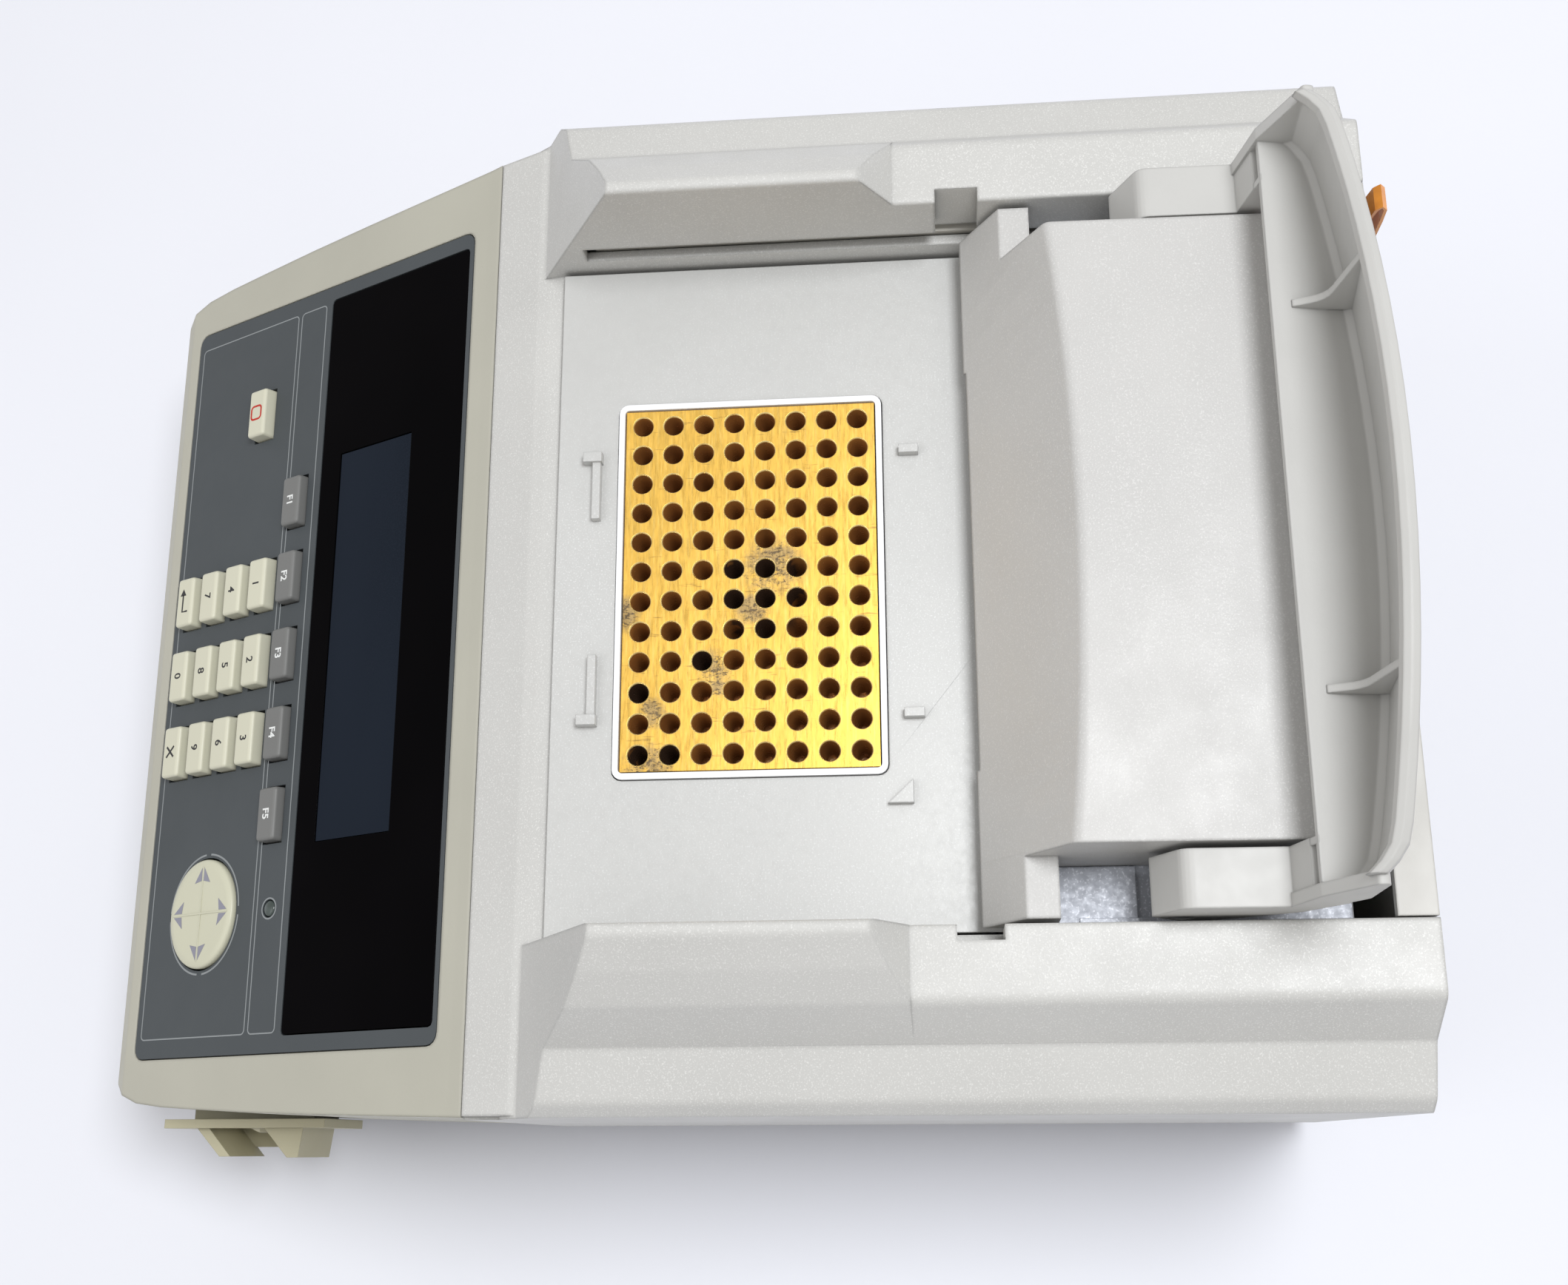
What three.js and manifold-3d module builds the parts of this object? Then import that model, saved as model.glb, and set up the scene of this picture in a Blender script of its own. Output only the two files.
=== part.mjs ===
// Bench-top thermal cycler with a sliding heated lid, shown with the lid open.
// Millimetres. +X is the machine's right, +Y its rear, +Z up.
// Shapes are laid out in the block frame (the centre of the sample block's top face is zero)
// and the whole group is then moved, so that its origin is the bottom centre of its bounding box.
import * as THREE from 'three';
import Module from 'manifold-3d';
import { mergeVertices } from 'three/addons/utils/BufferGeometryUtils.js';

const wasm = await Module();
wasm.setup();

// ---- overall ----
const TABLE_Z = -165; // table level below the block's top face
const FOOT_H = 8;
const HALF_W = 147.5; // half the body width
const REAR_Y = 174;
const SEAM_Y = -80.8; // joint between the body and the front casing
const WALL = 3;
const SHELL_BOTTOM = -150;
const GAP = 0.4;

// ---- deck and sample block ----
const DECK_HALF_X = 100;
const DECK_FRONT_Y = -56.6;
const DECK_REAR_Y = 160;
const DECK_T = 2.5;
const WELL_PITCH = 9; // standard 96-well pitch
const WELL_COLUMNS = 12;
const WELL_ROWS = 8;
const WELL_R_TOP = 3.1;
const WELL_R_BOTTOM = 1.3;
const WELL_DEPTH = 14;
const WELL_SIDES = 10;
const BLOCK_HALF = [54.2, 36.5];
const BLOCK_H = 20;
const SEAL_INNER = [54.6, 36.9];
const SEAL_OUTER = [56.4, 38.6];
const SEAL_TOP = 0.8;

// ---- side rails ----
const RAIL_IN_X = 101.4;
const RAIL_TOP_Z = 30.5;
const RAIL_BOTTOM_Z = -14;
const CREST_Z = 45;
const CREST_FRONT_Y = -35.5;
const CREST_REAR_Y = 34.1;
const CREST_FOOT_Y = 43.8;
const FRONT_SLOPE = 0.5725; // run over rise of the rails' front faces
const SLOT_Z = [6, 13];
const SLOT_Y = [-48.5, 150];
const NOTCH_Y = [55.9, 67.9];
const NOTCH_X = 105.5;
const NOTCH_WALL_Z = 10.4; // just above the lid's tabs
const RAIL_FRONT_Y = -75; // the rails' front faces are cut from here
// rail cross-section, inner wall to outer wall, as [x, z, edge radius]
const RAIL_OUTER = [[RAIL_IN_X, RAIL_TOP_Z, 1], [120.5, RAIL_TOP_Z, 4], [130.3, 15.8, 2],
  [144.2, 10.4, 5], [HALF_W, 5.5, 3]];
const RAIL_HOLLOW = [[118.9, 27.5], [128.4, 12.9], [141, 8], [HALF_W - WALL, 4.5]];
const CREST_SECTION = [[RAIL_IN_X, 20, 0], [RAIL_IN_X, CREST_Z - 0.2, 2], [104.4, CREST_Z, 4],
  [113, 38.2, 10], [121, 30.4, 8], [130.3, 15.8, 0], [126, 14, 0]];
const RUNNER_X = [105.2, 116];
const RUNNER_TOP = 7.2;
const RUNNER_T = 2.4;
const RUNNER_Y = [-46, 148];
const RUNNER_WEB_TOP = 16;

// ---- front casing and control panel ----
const PANEL_ANGLE = THREE.MathUtils.degToRad(29.19);
const PANEL_ORIGIN = [0, -205, -82.1]; // front edge of the overlay
const CASING_FRONT_Y = -217.4;
// half of the casing's outline from above, seam to front, as [x, y]
const CASING_PLAN = [[146.9, SEAM_Y], [146.2, -104], [145.3, -133], [144.3, -158], [143, -180],
  [142, -195], [140.6, -206], [138, -212.6], [134.4, -216], [129, CASING_FRONT_Y]];
const BEZEL_X = 127;
const BEZEL_S = [-4, 131];
const BEZEL_T = 2;
const KEY_W = 17.8;
const KEY_L = 8.9;
const KEY_TOP = 4.2;
const KEY_BOTTOM = -4.6;
const KEY_FLANGE = 0.6;
const KEY_COLUMNS = [-24.6, 1.5, 27.6];
const KEY_CORNER_R = 1.2;
const KEY_ROWS = [42, 29.8, 17.6, 5.4];
const FKEY_W = 17.6;
const FKEY_COUNT = 5;
const FKEY_PITCH = 26.2;
const FKEY_X = 1.1; // x of the middle function key
const FKEY_S = 54.7;
const FKEY_TOP = 3.2;
const STOP_AT = [-86.9, 35.2];
const PAD_AT = [82.4, 24.8];
const PAD_R = 17.4;
const PAD_OVAL = 0.87; // the pad is shorter up the slope
const PAD_TOP = 1.6;
const PAD_BOTTOM = -3.4;
const LED_AT = [83, 56];
const LED_R = 2.4;
const WINDOW_X = 121.6;
const WINDOW_S = [65.8, 129];
const LCD_X = 64.1;
const LCD_S = [74.6, 107.2];

// ---- heated lid carriage ----
const LID_HALF_X = 84.2;
const LID_FRONT = [62.6, 8.6]; // y, z of the front bottom edge
const LID_CREASE = [85.2, 47.3];
const CREASE_BOW = 5;
const CREASE_R = 3;
const LID_STATIONS = 16;
const LID_REAR_Y = 143.5;
const LID_TOP_REAR_Z = 46;
const APRON_HALF_X = 100;
const EAR_REAR_Y = 82.1;
const EAR_Z = 27.4;
const PLATEN_REST_Z = 9.2;
const PLATEN_T = 2.5;
const PLATEN_Y = [68.4, 141.8];

// ---- lever ----
const PIVOT = [112, 26]; // y, z of the lever's axis
const LEVER_HALF_X = 97;
const LEVER_END_X = 100.3;
const ARM_IN_X = 85.7;
const PLATE_FRONT = [140, 61];
const PLATE_SLOPE = 0.238;
const FOLD_Y = 164;
const FOLD_BOW = 11;
const RIM_Z = 95;
const RIM_DROP = 12;
const LEVER_T = 2.6;
const LEVER_STATIONS = 26;
const CORNER_FROM_X = 89; // the rim turns forward from here to its end walls
const CORNER_SHIFT = 3.6;
const GUSSET_X = [49.6, 51.6];

const finish = (color, roughness, metalness = 0) =>
  new THREE.MeshStandardMaterial({ color, roughness, metalness });

const HOUSING = [0xd9d7d0, 0.55];
const BEIGE = [0xcfcbbf, 0.55];
const STEEL = [0xb9bcc0, 0.35, 0.9];

const machine = new THREE.Group();

function addPart(name, solid, look) {
  const geometry = solid.isBufferGeometry ? solid : fromManifold(solid);
  const part = new THREE.Mesh(geometry, finish(...look));
  part.name = name;
  machine.add(part);
  return part;
}

// ---- solids ----
function toManifold(geometry) {
  const bare = geometry.clone();
  bare.deleteAttribute('normal');
  bare.deleteAttribute('uv');
  const merged = mergeVertices(bare, 1e-4);
  return new wasm.Manifold(new wasm.Mesh({
    numProp: 3,
    vertProperties: new Float32Array(merged.attributes.position.array),
    triVerts: new Uint32Array(merged.index.array),
  }));
}

function fromManifold(solid) {
  const mesh = solid.getMesh();
  const geometry = new THREE.BufferGeometry();
  geometry.setAttribute('position', new THREE.BufferAttribute(mesh.vertProperties, 3));
  geometry.setIndex(new THREE.BufferAttribute(mesh.triVerts, 1));
  geometry.computeVertexNormals();
  return geometry;
}

const AXES = {
  x: [[0, 1, 0], [0, 0, 1], [1, 0, 0]],
  y: [[1, 0, 0], [0, 0, 1], [0, -1, 0]],
  z: [[1, 0, 0], [0, 1, 0], [0, 0, 1]],
};

// a flat outline pushed along one axis: 'x' takes [y, z], 'y' takes [x, z], 'z' takes [x, y]
function prism(axis, outline, low, high) {
  const shape = new THREE.Shape(outline.map(([a, b]) => new THREE.Vector2(a, b)));
  const geometry = new THREE.ExtrudeGeometry(shape, { depth: high - low, bevelEnabled: false });
  const [u, v, w] = AXES[axis].map((a) => new THREE.Vector3(...a));
  const start = axis === 'y' ? -high : low;
  const place = new THREE.Matrix4().makeBasis(u, v, w);
  geometry.translate(0, 0, start).applyMatrix4(place);
  return toManifold(geometry);
}

function box([x0, x1], [y0, y1], [z0, z1]) {
  const geometry = new THREE.BoxGeometry(x1 - x0, y1 - y0, z1 - z0);
  geometry.translate((x0 + x1) / 2, (y0 + y1) / 2, (z0 + z1) / 2);
  return toManifold(geometry);
}

// a cone or cylinder along 'x', 'y' or 'z' from low to high
function rod(axis, [a, b], rLow, rHigh, low, high, sides = 24) {
  const geometry = new THREE.CylinderGeometry(rHigh, rLow, high - low, sides);
  geometry.rotateX(Math.PI / 2);
  if (axis === 'x') geometry.rotateY(Math.PI / 2);
  if (axis === 'y') geometry.rotateX(-Math.PI / 2);
  const mid = (low + high) / 2;
  const at = { x: [mid, a, b], y: [a, mid, b], z: [a, b, mid] }[axis];
  geometry.translate(...at);
  return toManifold(geometry);
}

function roundedRect([x0, x1], [y0, y1], r, steps = 4) {
  const corners = [[x1 - r, y1 - r, 0], [x0 + r, y1 - r, 1], [x0 + r, y0 + r, 2], [x1 - r, y0 + r, 3]];
  const points = [];
  for (const [cx, cy, quarter] of corners) {
    for (let i = 0; i <= steps; i++) {
      const angle = (quarter + i / steps) * Math.PI / 2;
      points.push([cx + r * Math.cos(angle), cy + r * Math.sin(angle)]);
    }
  }
  return points;
}

// an outline of [a, b, radius] corners with each corner rounded; radius 0 keeps it sharp
function rounded(corners, steps = 4) {
  const points = [];
  corners.forEach(([a, b, r = 0], i) => {
    const here = new THREE.Vector2(a, b);
    const [pa, pb] = corners.at(i - 1);
    const [na, nb] = corners[(i + 1) % corners.length];
    const back = new THREE.Vector2(pa, pb).sub(here);
    const ahead = new THREE.Vector2(na, nb).sub(here);
    const half = back.angleTo(ahead) / 2;
    const reach = Math.min(r / Math.tan(half), back.length() * 0.48, ahead.length() * 0.48);
    if (reach < 0.05) {
      points.push([a, b]);
      return;
    }
    const start = here.clone().add(back.setLength(reach));
    const end = here.clone().add(ahead.setLength(reach));
    const curve = new THREE.QuadraticBezierCurve(start, here, end);
    for (const p of curve.getPoints(steps)) points.push([p.x, p.y]);
  });
  return points;
}

// a closed skin over [y, z] outlines that change along x
function loft(stations) {
  const positions = [];
  const indices = [];
  const n = stations[0].outline.length;
  for (const { x, outline } of stations) {
    for (const [y, z] of outline) positions.push(x, y, z);
  }
  for (let s = 0; s + 1 < stations.length; s++) {
    for (let i = 0; i < n; i++) {
      const j = (i + 1) % n;
      const a = s * n + i;
      const b = s * n + j;
      indices.push(a, b, b + n, a, b + n, a + n);
    }
  }
  const cap = (outline) => THREE.ShapeUtils.triangulateShape(
    outline.map(([y, z]) => new THREE.Vector2(y, z)), []);
  const last = (stations.length - 1) * n;
  for (const [a, b, c] of cap(stations[0].outline)) indices.push(a, c, b);
  for (const [a, b, c] of cap(stations[stations.length - 1].outline)) {
    indices.push(last + a, last + b, last + c);
  }
  return new wasm.Manifold(new wasm.Mesh({
    numProp: 3,
    vertProperties: new Float32Array(positions),
    triVerts: new Uint32Array(indices),
  }));
}

const mirrorPlan = (side) => [...side, ...side.slice().reverse().map(([x, y]) => [-x, y])];
const join = (...solids) => solids.reduce((a, b) => a.add(b));
const cut = (solid, ...tools) => tools.reduce((a, b) => a.subtract(b), solid);
const mirrorX = (solid) => solid.mirror([1, 0, 0]);
const bothSides = (solid) => solid.add(mirrorX(solid));

// ---- panel frame: x along the machine, s up the slope, n out of the panel ----
const panelPlace = new THREE.Matrix4().makeBasis(
  new THREE.Vector3(1, 0, 0),
  new THREE.Vector3(0, Math.cos(PANEL_ANGLE), Math.sin(PANEL_ANGLE)),
  new THREE.Vector3(0, -Math.sin(PANEL_ANGLE), Math.cos(PANEL_ANGLE)),
).setPosition(...PANEL_ORIGIN);
const onPanel = (solid) => solid.transform(panelPlace.elements.slice());
const panelPoint = (s, n) => {
  const p = new THREE.Vector3(0, s, n).applyMatrix4(panelPlace);
  return [p.y, p.z];
};

// ---- body: rails, side walls and the band in front of the deck ----
function rightRail() {
  const frontPlane = (z) => CREST_FRONT_Y - (CREST_Z - z) * FRONT_SLOPE;
  const outer = join(
    prism('y', rounded([...RAIL_OUTER, [HALF_W, RAIL_BOTTOM_Z], [RAIL_IN_X, RAIL_BOTTOM_Z]]),
      RAIL_FRONT_Y, REAR_Y),
    prism('y', rounded(CREST_SECTION), RAIL_FRONT_Y, REAR_Y).intersect(prism('x', rounded([
      [RAIL_FRONT_Y, 10], [RAIL_FRONT_Y, CREST_Z + 1], [CREST_REAR_Y, CREST_Z + 1, 6],
      [CREST_FOOT_Y, RAIL_TOP_Z], [CREST_FOOT_Y + 0.5, 10]]), 90, 140)),
  );
  const sideView = prism('x', [[frontPlane(60), 60], [frontPlane(-3.5), -3.5], [SEAM_Y + 12, -7.6],
    [SEAM_Y + 12, RAIL_BOTTOM_Z], [REAR_Y, RAIL_BOTTOM_Z], [REAR_Y, 60]], 90, 150);
  const hollowSection = [[RAIL_IN_X + WALL, RAIL_HOLLOW[0][1]], ...RAIL_HOLLOW,
    [HALF_W - WALL, RAIL_BOTTOM_Z - 1], [RAIL_IN_X + WALL, RAIL_BOTTOM_Z - 1]];
  const hollow = prism('y', hollowSection, RAIL_FRONT_Y, REAR_Y - WALL).intersect(prism('x', [
    [frontPlane(60) + WALL + 1, 60], [frontPlane(-3.5) + WALL + 1, -3.5],
    [frontPlane(-3.5) + WALL + 1, RAIL_BOTTOM_Z - 1], [REAR_Y, RAIL_BOTTOM_Z - 1], [REAR_Y, 60]], 90, 150));
  const slot = box([90, RAIL_IN_X + WALL + 1], SLOT_Y, SLOT_Z);
  const notch = box([90, NOTCH_X], NOTCH_Y, [SLOT_Z[0], 60]);
  const notchWall = box([NOTCH_X, NOTCH_X + 2], [NOTCH_Y[0] - 2, NOTCH_Y[1] + 2], [NOTCH_WALL_Z, 28]);
  return cut(cut(outer.intersect(sideView), hollow).add(notchWall), slot, notch);
}

const HOUSING_FRONT_Y = SEAM_Y + 0.3;
const sideWall = box([HALF_W - WALL, HALF_W], [HOUSING_FRONT_Y, REAR_Y], [SHELL_BOTTOM, RAIL_BOTTOM_Z + 0.5]);
const BAND_HALF_X = HALF_W - 0.9;
const BAND_TOP = [[HOUSING_FRONT_Y, -12], [-66, -4.6], [-62, -3.4], [DECK_FRONT_Y - GAP, -2.6]];
const band = prism('x', [...BAND_TOP, [DECK_FRONT_Y - GAP, -8], [-66, -8.6], [HOUSING_FRONT_Y, -16]],
  -BAND_HALF_X, BAND_HALF_X);
const SKIRT_BOTTOM = -30;
const bandSkirt = bothSides(prism('x', [BAND_TOP[0], BAND_TOP[1], [-60, BAND_TOP[1][1]], [-60, SKIRT_BOTTOM],
  [HOUSING_FRONT_Y, SKIRT_BOTTOM]], HALF_W - WALL - 1, BAND_HALF_X));
const mainHousing = join(bothSides(rightRail()), bothSides(sideWall), band, bandSkirt);
addPart('main_housing', mainHousing, HOUSING);

// ---- base and feet ----
const BASE_TOP = SHELL_BOTTOM - 0.4;
const BASE_INSET = 2.5;
const BASE_T = 6.6;
const BASE_FLOOR_T = 3;
const INTAKE_PITCH = 11;
const INTAKE_HALF = [3, 34];
const basePlan = mirrorPlan(CASING_PLAN.map(([x, y]) =>
  [x - BASE_INSET, Math.max(y, CASING_FRONT_Y + BASE_INSET + 2)]));
const basePan = cut(
  prism('z', [...basePlan, [-145, REAR_Y - 4], [145, REAR_Y - 4]].reverse(), BASE_TOP - BASE_T, BASE_TOP),
  box([-120, 120], [-185, 160], [BASE_TOP - BASE_T + BASE_FLOOR_T, BASE_TOP + 1]),
);
const intakeSlots = [-3, -2, -1, 0, 1, 2, 3].map((i) => box(
  [i * INTAKE_PITCH - INTAKE_HALF[0], i * INTAKE_PITCH + INTAKE_HALF[0]],
  [-INTAKE_HALF[1], INTAKE_HALF[1]], [SHELL_BOTTOM - 8, SHELL_BOTTOM]));
addPart('base_pan', cut(basePan, ...intakeSlots), [0x8f9294, 0.5, 0.6]);

const FOOT_R = [8.4, 9.6];
const FEET = {
  front_left: [-118, -172], front_right: [118, -172], rear_left: [-128, 150], rear_right: [128, 150],
};
for (const [place, at] of Object.entries(FEET)) {
  addPart(`foot_${place}`, rod('z', at, ...FOOT_R, TABLE_Z, TABLE_Z + FOOT_H - 0.2, 20), [0x2b2b2b, 0.8]);
}

// ---- front casing ----
function casingSolid(inset) {
  const side = [...CASING_PLAN].map(([x, y]) => [x - inset, Math.max(y, CASING_FRONT_Y + inset)]);
  const plan = mirrorPlan(side);
  const rise = [
    [SEAM_Y, -12.4 - inset], panelPoint(137, -inset), panelPoint(-9, -inset),
    [CASING_FRONT_Y + inset + 1.2, -90.5 - inset], [CASING_FRONT_Y + inset, -94 - inset],
    [CASING_FRONT_Y + 2 + inset, SHELL_BOTTOM - (inset ? 1 : 0)], [SEAM_Y, SHELL_BOTTOM - (inset ? 1 : 0)]];
  return prism('z', plan.reverse(), SHELL_BOTTOM - 5, 0).intersect(prism('x', rise.reverse(), -150, 150));
}
const bezelPocket = onPanel(prism('z',
  roundedRect([-BEZEL_X - GAP, BEZEL_X + GAP], [BEZEL_S[0] - GAP, BEZEL_S[1] + GAP], 4), -BEZEL_T - GAP, 20));
const bezelWell = onPanel(box([-122.6, 122.6], [-1.5, 129.6], [-40, 20]));
const switchHole = box([120, 150], [-194, -152], [-124, -98]);
addPart('panel_casing', cut(casingSolid(0), casingSolid(WALL), bezelPocket, bezelWell, switchHole), HOUSING);

// ---- control panel ----
const OVERLAY_CUT = [-4, 2]; // from below to above the overlay
const keyHole = (x, s, w, l) =>
  box([x - w / 2 - GAP, x + w / 2 + GAP], [s - l / 2 - GAP, s + l / 2 + GAP], OVERLAY_CUT);
const KEY_NAMES = [['1', '2', '3'], ['4', '5', '6'], ['7', '8', '9'], ['enter', '0', 'clear']];
const IVORY = [0xe9e5d8, 0.5];
const KEY_GREY = [0x7e8285, 0.5];
const keys = [{ name: 'key_stop', at: STOP_AT, w: KEY_W, top: KEY_TOP, look: IVORY }];
KEY_NAMES.forEach((row, r) => row.forEach((name, c) => {
  const at = [KEY_COLUMNS[c], KEY_ROWS[r]];
  keys.push({ name: `key_${name}`, at, w: KEY_W, top: KEY_TOP, look: IVORY });
}));
for (let i = 0; i < FKEY_COUNT; i++) {
  const x = FKEY_X + (i - (FKEY_COUNT - 1) / 2) * FKEY_PITCH;
  keys.push({ name: `key_f${i + 1}`, at: [x, FKEY_S], w: FKEY_W, top: FKEY_TOP, look: KEY_GREY });
}

const PAD_HOLE_R = PAD_R + 0.6;
const ovalPad = (rLow, rHigh, low, high, sides) => rod('z', [0, 0], rLow, rHigh, low, high, sides)
  .scale([1, PAD_OVAL, 1]).translate([...PAD_AT, 0]);
const bezel = cut(
  prism('z', roundedRect([-BEZEL_X, BEZEL_X], BEZEL_S, 3.6), -BEZEL_T, 0),
  ...keys.map(({ at, w }) => keyHole(at[0], at[1], w, KEY_L)),
  ovalPad(PAD_HOLE_R, PAD_HOLE_R, ...OVERLAY_CUT, 40),
  rod('z', LED_AT, LED_R + GAP, LED_R + GAP, ...OVERLAY_CUT, 20),
  prism('z', roundedRect([-WINDOW_X - GAP, WINDOW_X + GAP], [WINDOW_S[0] - GAP, WINDOW_S[1] + GAP], 1.6, 2),
    ...OVERLAY_CUT),
);
addPart('panel_bezel', onPanel(bezel), [0x5b6670, 0.5]);

for (const { name, at: [x, s], w, top, look } of keys) {
  const plan = roundedRect([x - w / 2, x + w / 2], [s - KEY_L / 2, s + KEY_L / 2], KEY_CORNER_R, 2);
  const cap = prism('z', plan, KEY_BOTTOM, top);
  const flange = box([x - w / 2 - KEY_FLANGE, x + w / 2 + KEY_FLANGE],
    [s - KEY_L / 2 - KEY_FLANGE, s + KEY_L / 2 + KEY_FLANGE], [KEY_BOTTOM, -BEZEL_T - GAP]);
  addPart(name, onPanel(cap.add(flange)), look);
}

const padDome = ovalPad(PAD_R, PAD_R - 0.6, PAD_BOTTOM, PAD_TOP, 40);
const atPad = (halfX, halfS, low, high) =>
  box([PAD_AT[0] - halfX, PAD_AT[0] + halfX], [PAD_AT[1] - halfS, PAD_AT[1] + halfS], [low, high]);
const GROOVE_HALF = 0.4;
const GROOVE_DEPTH = 0.6;
const padGrooves = [
  atPad(PAD_R - 1, GROOVE_HALF, PAD_TOP - GROOVE_DEPTH, PAD_TOP + 1),
  atPad(GROOVE_HALF, (PAD_R - 1) * PAD_OVAL, PAD_TOP - GROOVE_DEPTH, PAD_TOP + 1),
];
const POST_HALF = 2.3;
const padPost = atPad(POST_HALF, POST_HALF, -6.8, -3);
addPart('arrow_pad', onPanel(cut(padDome, ...padGrooves).add(padPost)), [0xe4e1d2, 0.5]);
const gimbal = cut(rod('z', PAD_AT, 11, 11, -7, -5.6, 24), atPad(POST_HALF + 0.7, POST_HALF + 0.7, -8, -4));
addPart('pad_gimbal', onPanel(gimbal), [0x3a3d40, 0.5]);
addPart('power_led', onPanel(rod('z', LED_AT, LED_R, LED_R, -4, 0.3, 20)), [0x4a5a4c, 0.2]);

const windowPlate = cut(
  prism('z', roundedRect([-WINDOW_X, WINDOW_X], WINDOW_S, 1.2, 2), -BEZEL_T, -0.1),
  box([-LCD_X, LCD_X], LCD_S, [-4, 2]),
);
addPart('display_window', onPanel(windowPlate), [0x0b0c0e, 0.12]);
addPart('lcd_module', onPanel(join(
  box([-LCD_X - 6, LCD_X + 6], [LCD_S[0] - 5, LCD_S[1] + 5], [-11, -BEZEL_T - GAP]),
  box([-LCD_X + 0.3, LCD_X - 0.3], [LCD_S[0] + 0.3, LCD_S[1] - 0.3], [-4, -0.4]),
)), [0x1c2733, 0.15]);
addPart('keypad_board', onPanel(box([-112, 112], [0, 63.5], [-9.6, -8])), [0x2e5b3a, 0.5]);

// ---- deck plate ----
const CLIP_SINK = -0.5; // the clips reach into the plate
const clipBar = (x0, x1) => box([x0, x1], [-46, -43.6], [CLIP_SINK, 2.6]);
const clipHook = (x0, x1) => box([x0, x1], [-48.7, -43.2], [CLIP_SINK, 3.4]);
const rearClip = (x0, x1) => box([x0, x1], [43.4, 49], [CLIP_SINK, 2.8]);
const sealHole = SEAL_OUTER.map((half) => [-half - 0.3, half + 0.3]);
const deck = cut(
  box([-DECK_HALF_X, DECK_HALF_X], [DECK_FRONT_Y, DECK_REAR_Y], [-DECK_T, 0]),
  prism('z', roundedRect(...sealHole, 3), -5, 5),
);
const deckDetails = [
  clipBar(-39, -20.5), clipHook(-41, -38), clipBar(20.5, 39), clipHook(38, 41),
  rearClip(-40, -37.4), rearClip(38.2, 40.8),
  prism('z', [[58.2, 45.4], [64.8, 38.4], [64.8, 45.4]], CLIP_SINK, 2.4),
];
addPart('deck_plate', join(deck, ...deckDetails), [0xc9cac8, 0.45, 0.3]);

const ring = (outer, inner, r, z0, z1) => cut(
  prism('z', roundedRect([-outer[0], outer[0]], [-outer[1], outer[1]], r), z0, z1),
  prism('z', roundedRect([-inner[0], inner[0]], [-inner[1], inner[1]], r - 1.6), z0 - 1, z1 + 1),
);
addPart('block_gasket', ring(SEAL_OUTER, SEAL_INNER, 2.8, -6, SEAL_TOP), [0xf4f4f2, 0.5]);

const wells = [];
for (let c = 0; c < WELL_COLUMNS; c++) {
  for (let r = 0; r < WELL_ROWS; r++) {
    const at = [(c - (WELL_COLUMNS - 1) / 2) * WELL_PITCH, (r - (WELL_ROWS - 1) / 2) * WELL_PITCH];
    const rAbove = WELL_R_TOP + (WELL_R_TOP - WELL_R_BOTTOM) / WELL_DEPTH;
    wells.push(rod('z', at, WELL_R_BOTTOM, rAbove, -WELL_DEPTH, 1, WELL_SIDES));
  }
}
const sampleBlock = cut(prism('z',
  roundedRect([-BLOCK_HALF[0], BLOCK_HALF[0]], [-BLOCK_HALF[1], BLOCK_HALF[1]], 1, 1), -BLOCK_H, 0.2), ...wells);
addPart('sample_block', sampleBlock, [0xd9a441, 0.35, 0.9]);

// ---- heating and cooling stack ----
const STACK_TOP = -BLOCK_H - 0.3;
addPart('thermoelectric_layer', box([-52, 52], [-35, 35], [STACK_TOP - 4, STACK_TOP]), [0xe8e6e0, 0.6]);
const SINK_TOP = STACK_TOP - 4.3;
const SINK_H = 44;
const SINK_BOTTOM = SINK_TOP - SINK_H;
const SINK_BASE_T = 8;
const SINK_Y = [-44, 44];
const FIN_COUNT = 13;
const FIN_PITCH = 9.4;
const FIN_T = 2.2;
const fins = [];
for (let i = 0; i < FIN_COUNT; i++) {
  const x = (i - (FIN_COUNT - 1) / 2) * FIN_PITCH;
  fins.push(box([x - FIN_T / 2, x + FIN_T / 2], SINK_Y, [SINK_BOTTOM, SINK_TOP - SINK_BASE_T + 2]));
}
const sinkBase = box([-62, 62], SINK_Y, [SINK_TOP - SINK_BASE_T, SINK_TOP]);
addPart('heat_sink', join(sinkBase, ...fins), [0x9ea1a4, 0.4, 0.8]);

const FAN_TOP = SINK_BOTTOM - 0.4;
const FAN_H = 25;
const FAN_BOTTOM = FAN_TOP - FAN_H;
const FAN_HALF = 42;
const FAN_R = 38;
const HUB_R = 13;
const BLADE_COUNT = 7;
const BLADE_TILT = 35;
const BLADE_R = [9, 35];
const fanHole = cut(rod('z', [0, 0], FAN_R, FAN_R, FAN_BOTTOM - 1, FAN_BOTTOM + 4, 32),
  box([-3, 3], [-50, 50], [-200, 0]), rod('z', [0, 0], HUB_R + 1, HUB_R + 1, -200, 0, 24));
const fanFrame = cut(
  box([-FAN_HALF, FAN_HALF], [-FAN_HALF, FAN_HALF], [FAN_BOTTOM, FAN_TOP]),
  rod('z', [0, 0], FAN_R, FAN_R, FAN_BOTTOM + 3, FAN_TOP + 1, 32),
  fanHole,
);
addPart('fan_frame', fanFrame, [0x26282a, 0.6]);
const blades = [];
for (let i = 0; i < BLADE_COUNT; i++) {
  const blade = box(BLADE_R, [-1, 1], [-8, 8]).rotate([BLADE_TILT, 0, 0]).rotate([0, 0, i * 360 / BLADE_COUNT]);
  blades.push(blade.translate([0, 0, FAN_BOTTOM + 14]));
}
const hub = rod('z', [0, 0], HUB_R, HUB_R, FAN_BOTTOM + 4, FAN_TOP - 2, 20);
addPart('fan_rotor', join(hub, ...blades), [0x1d1f21, 0.6]);

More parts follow.
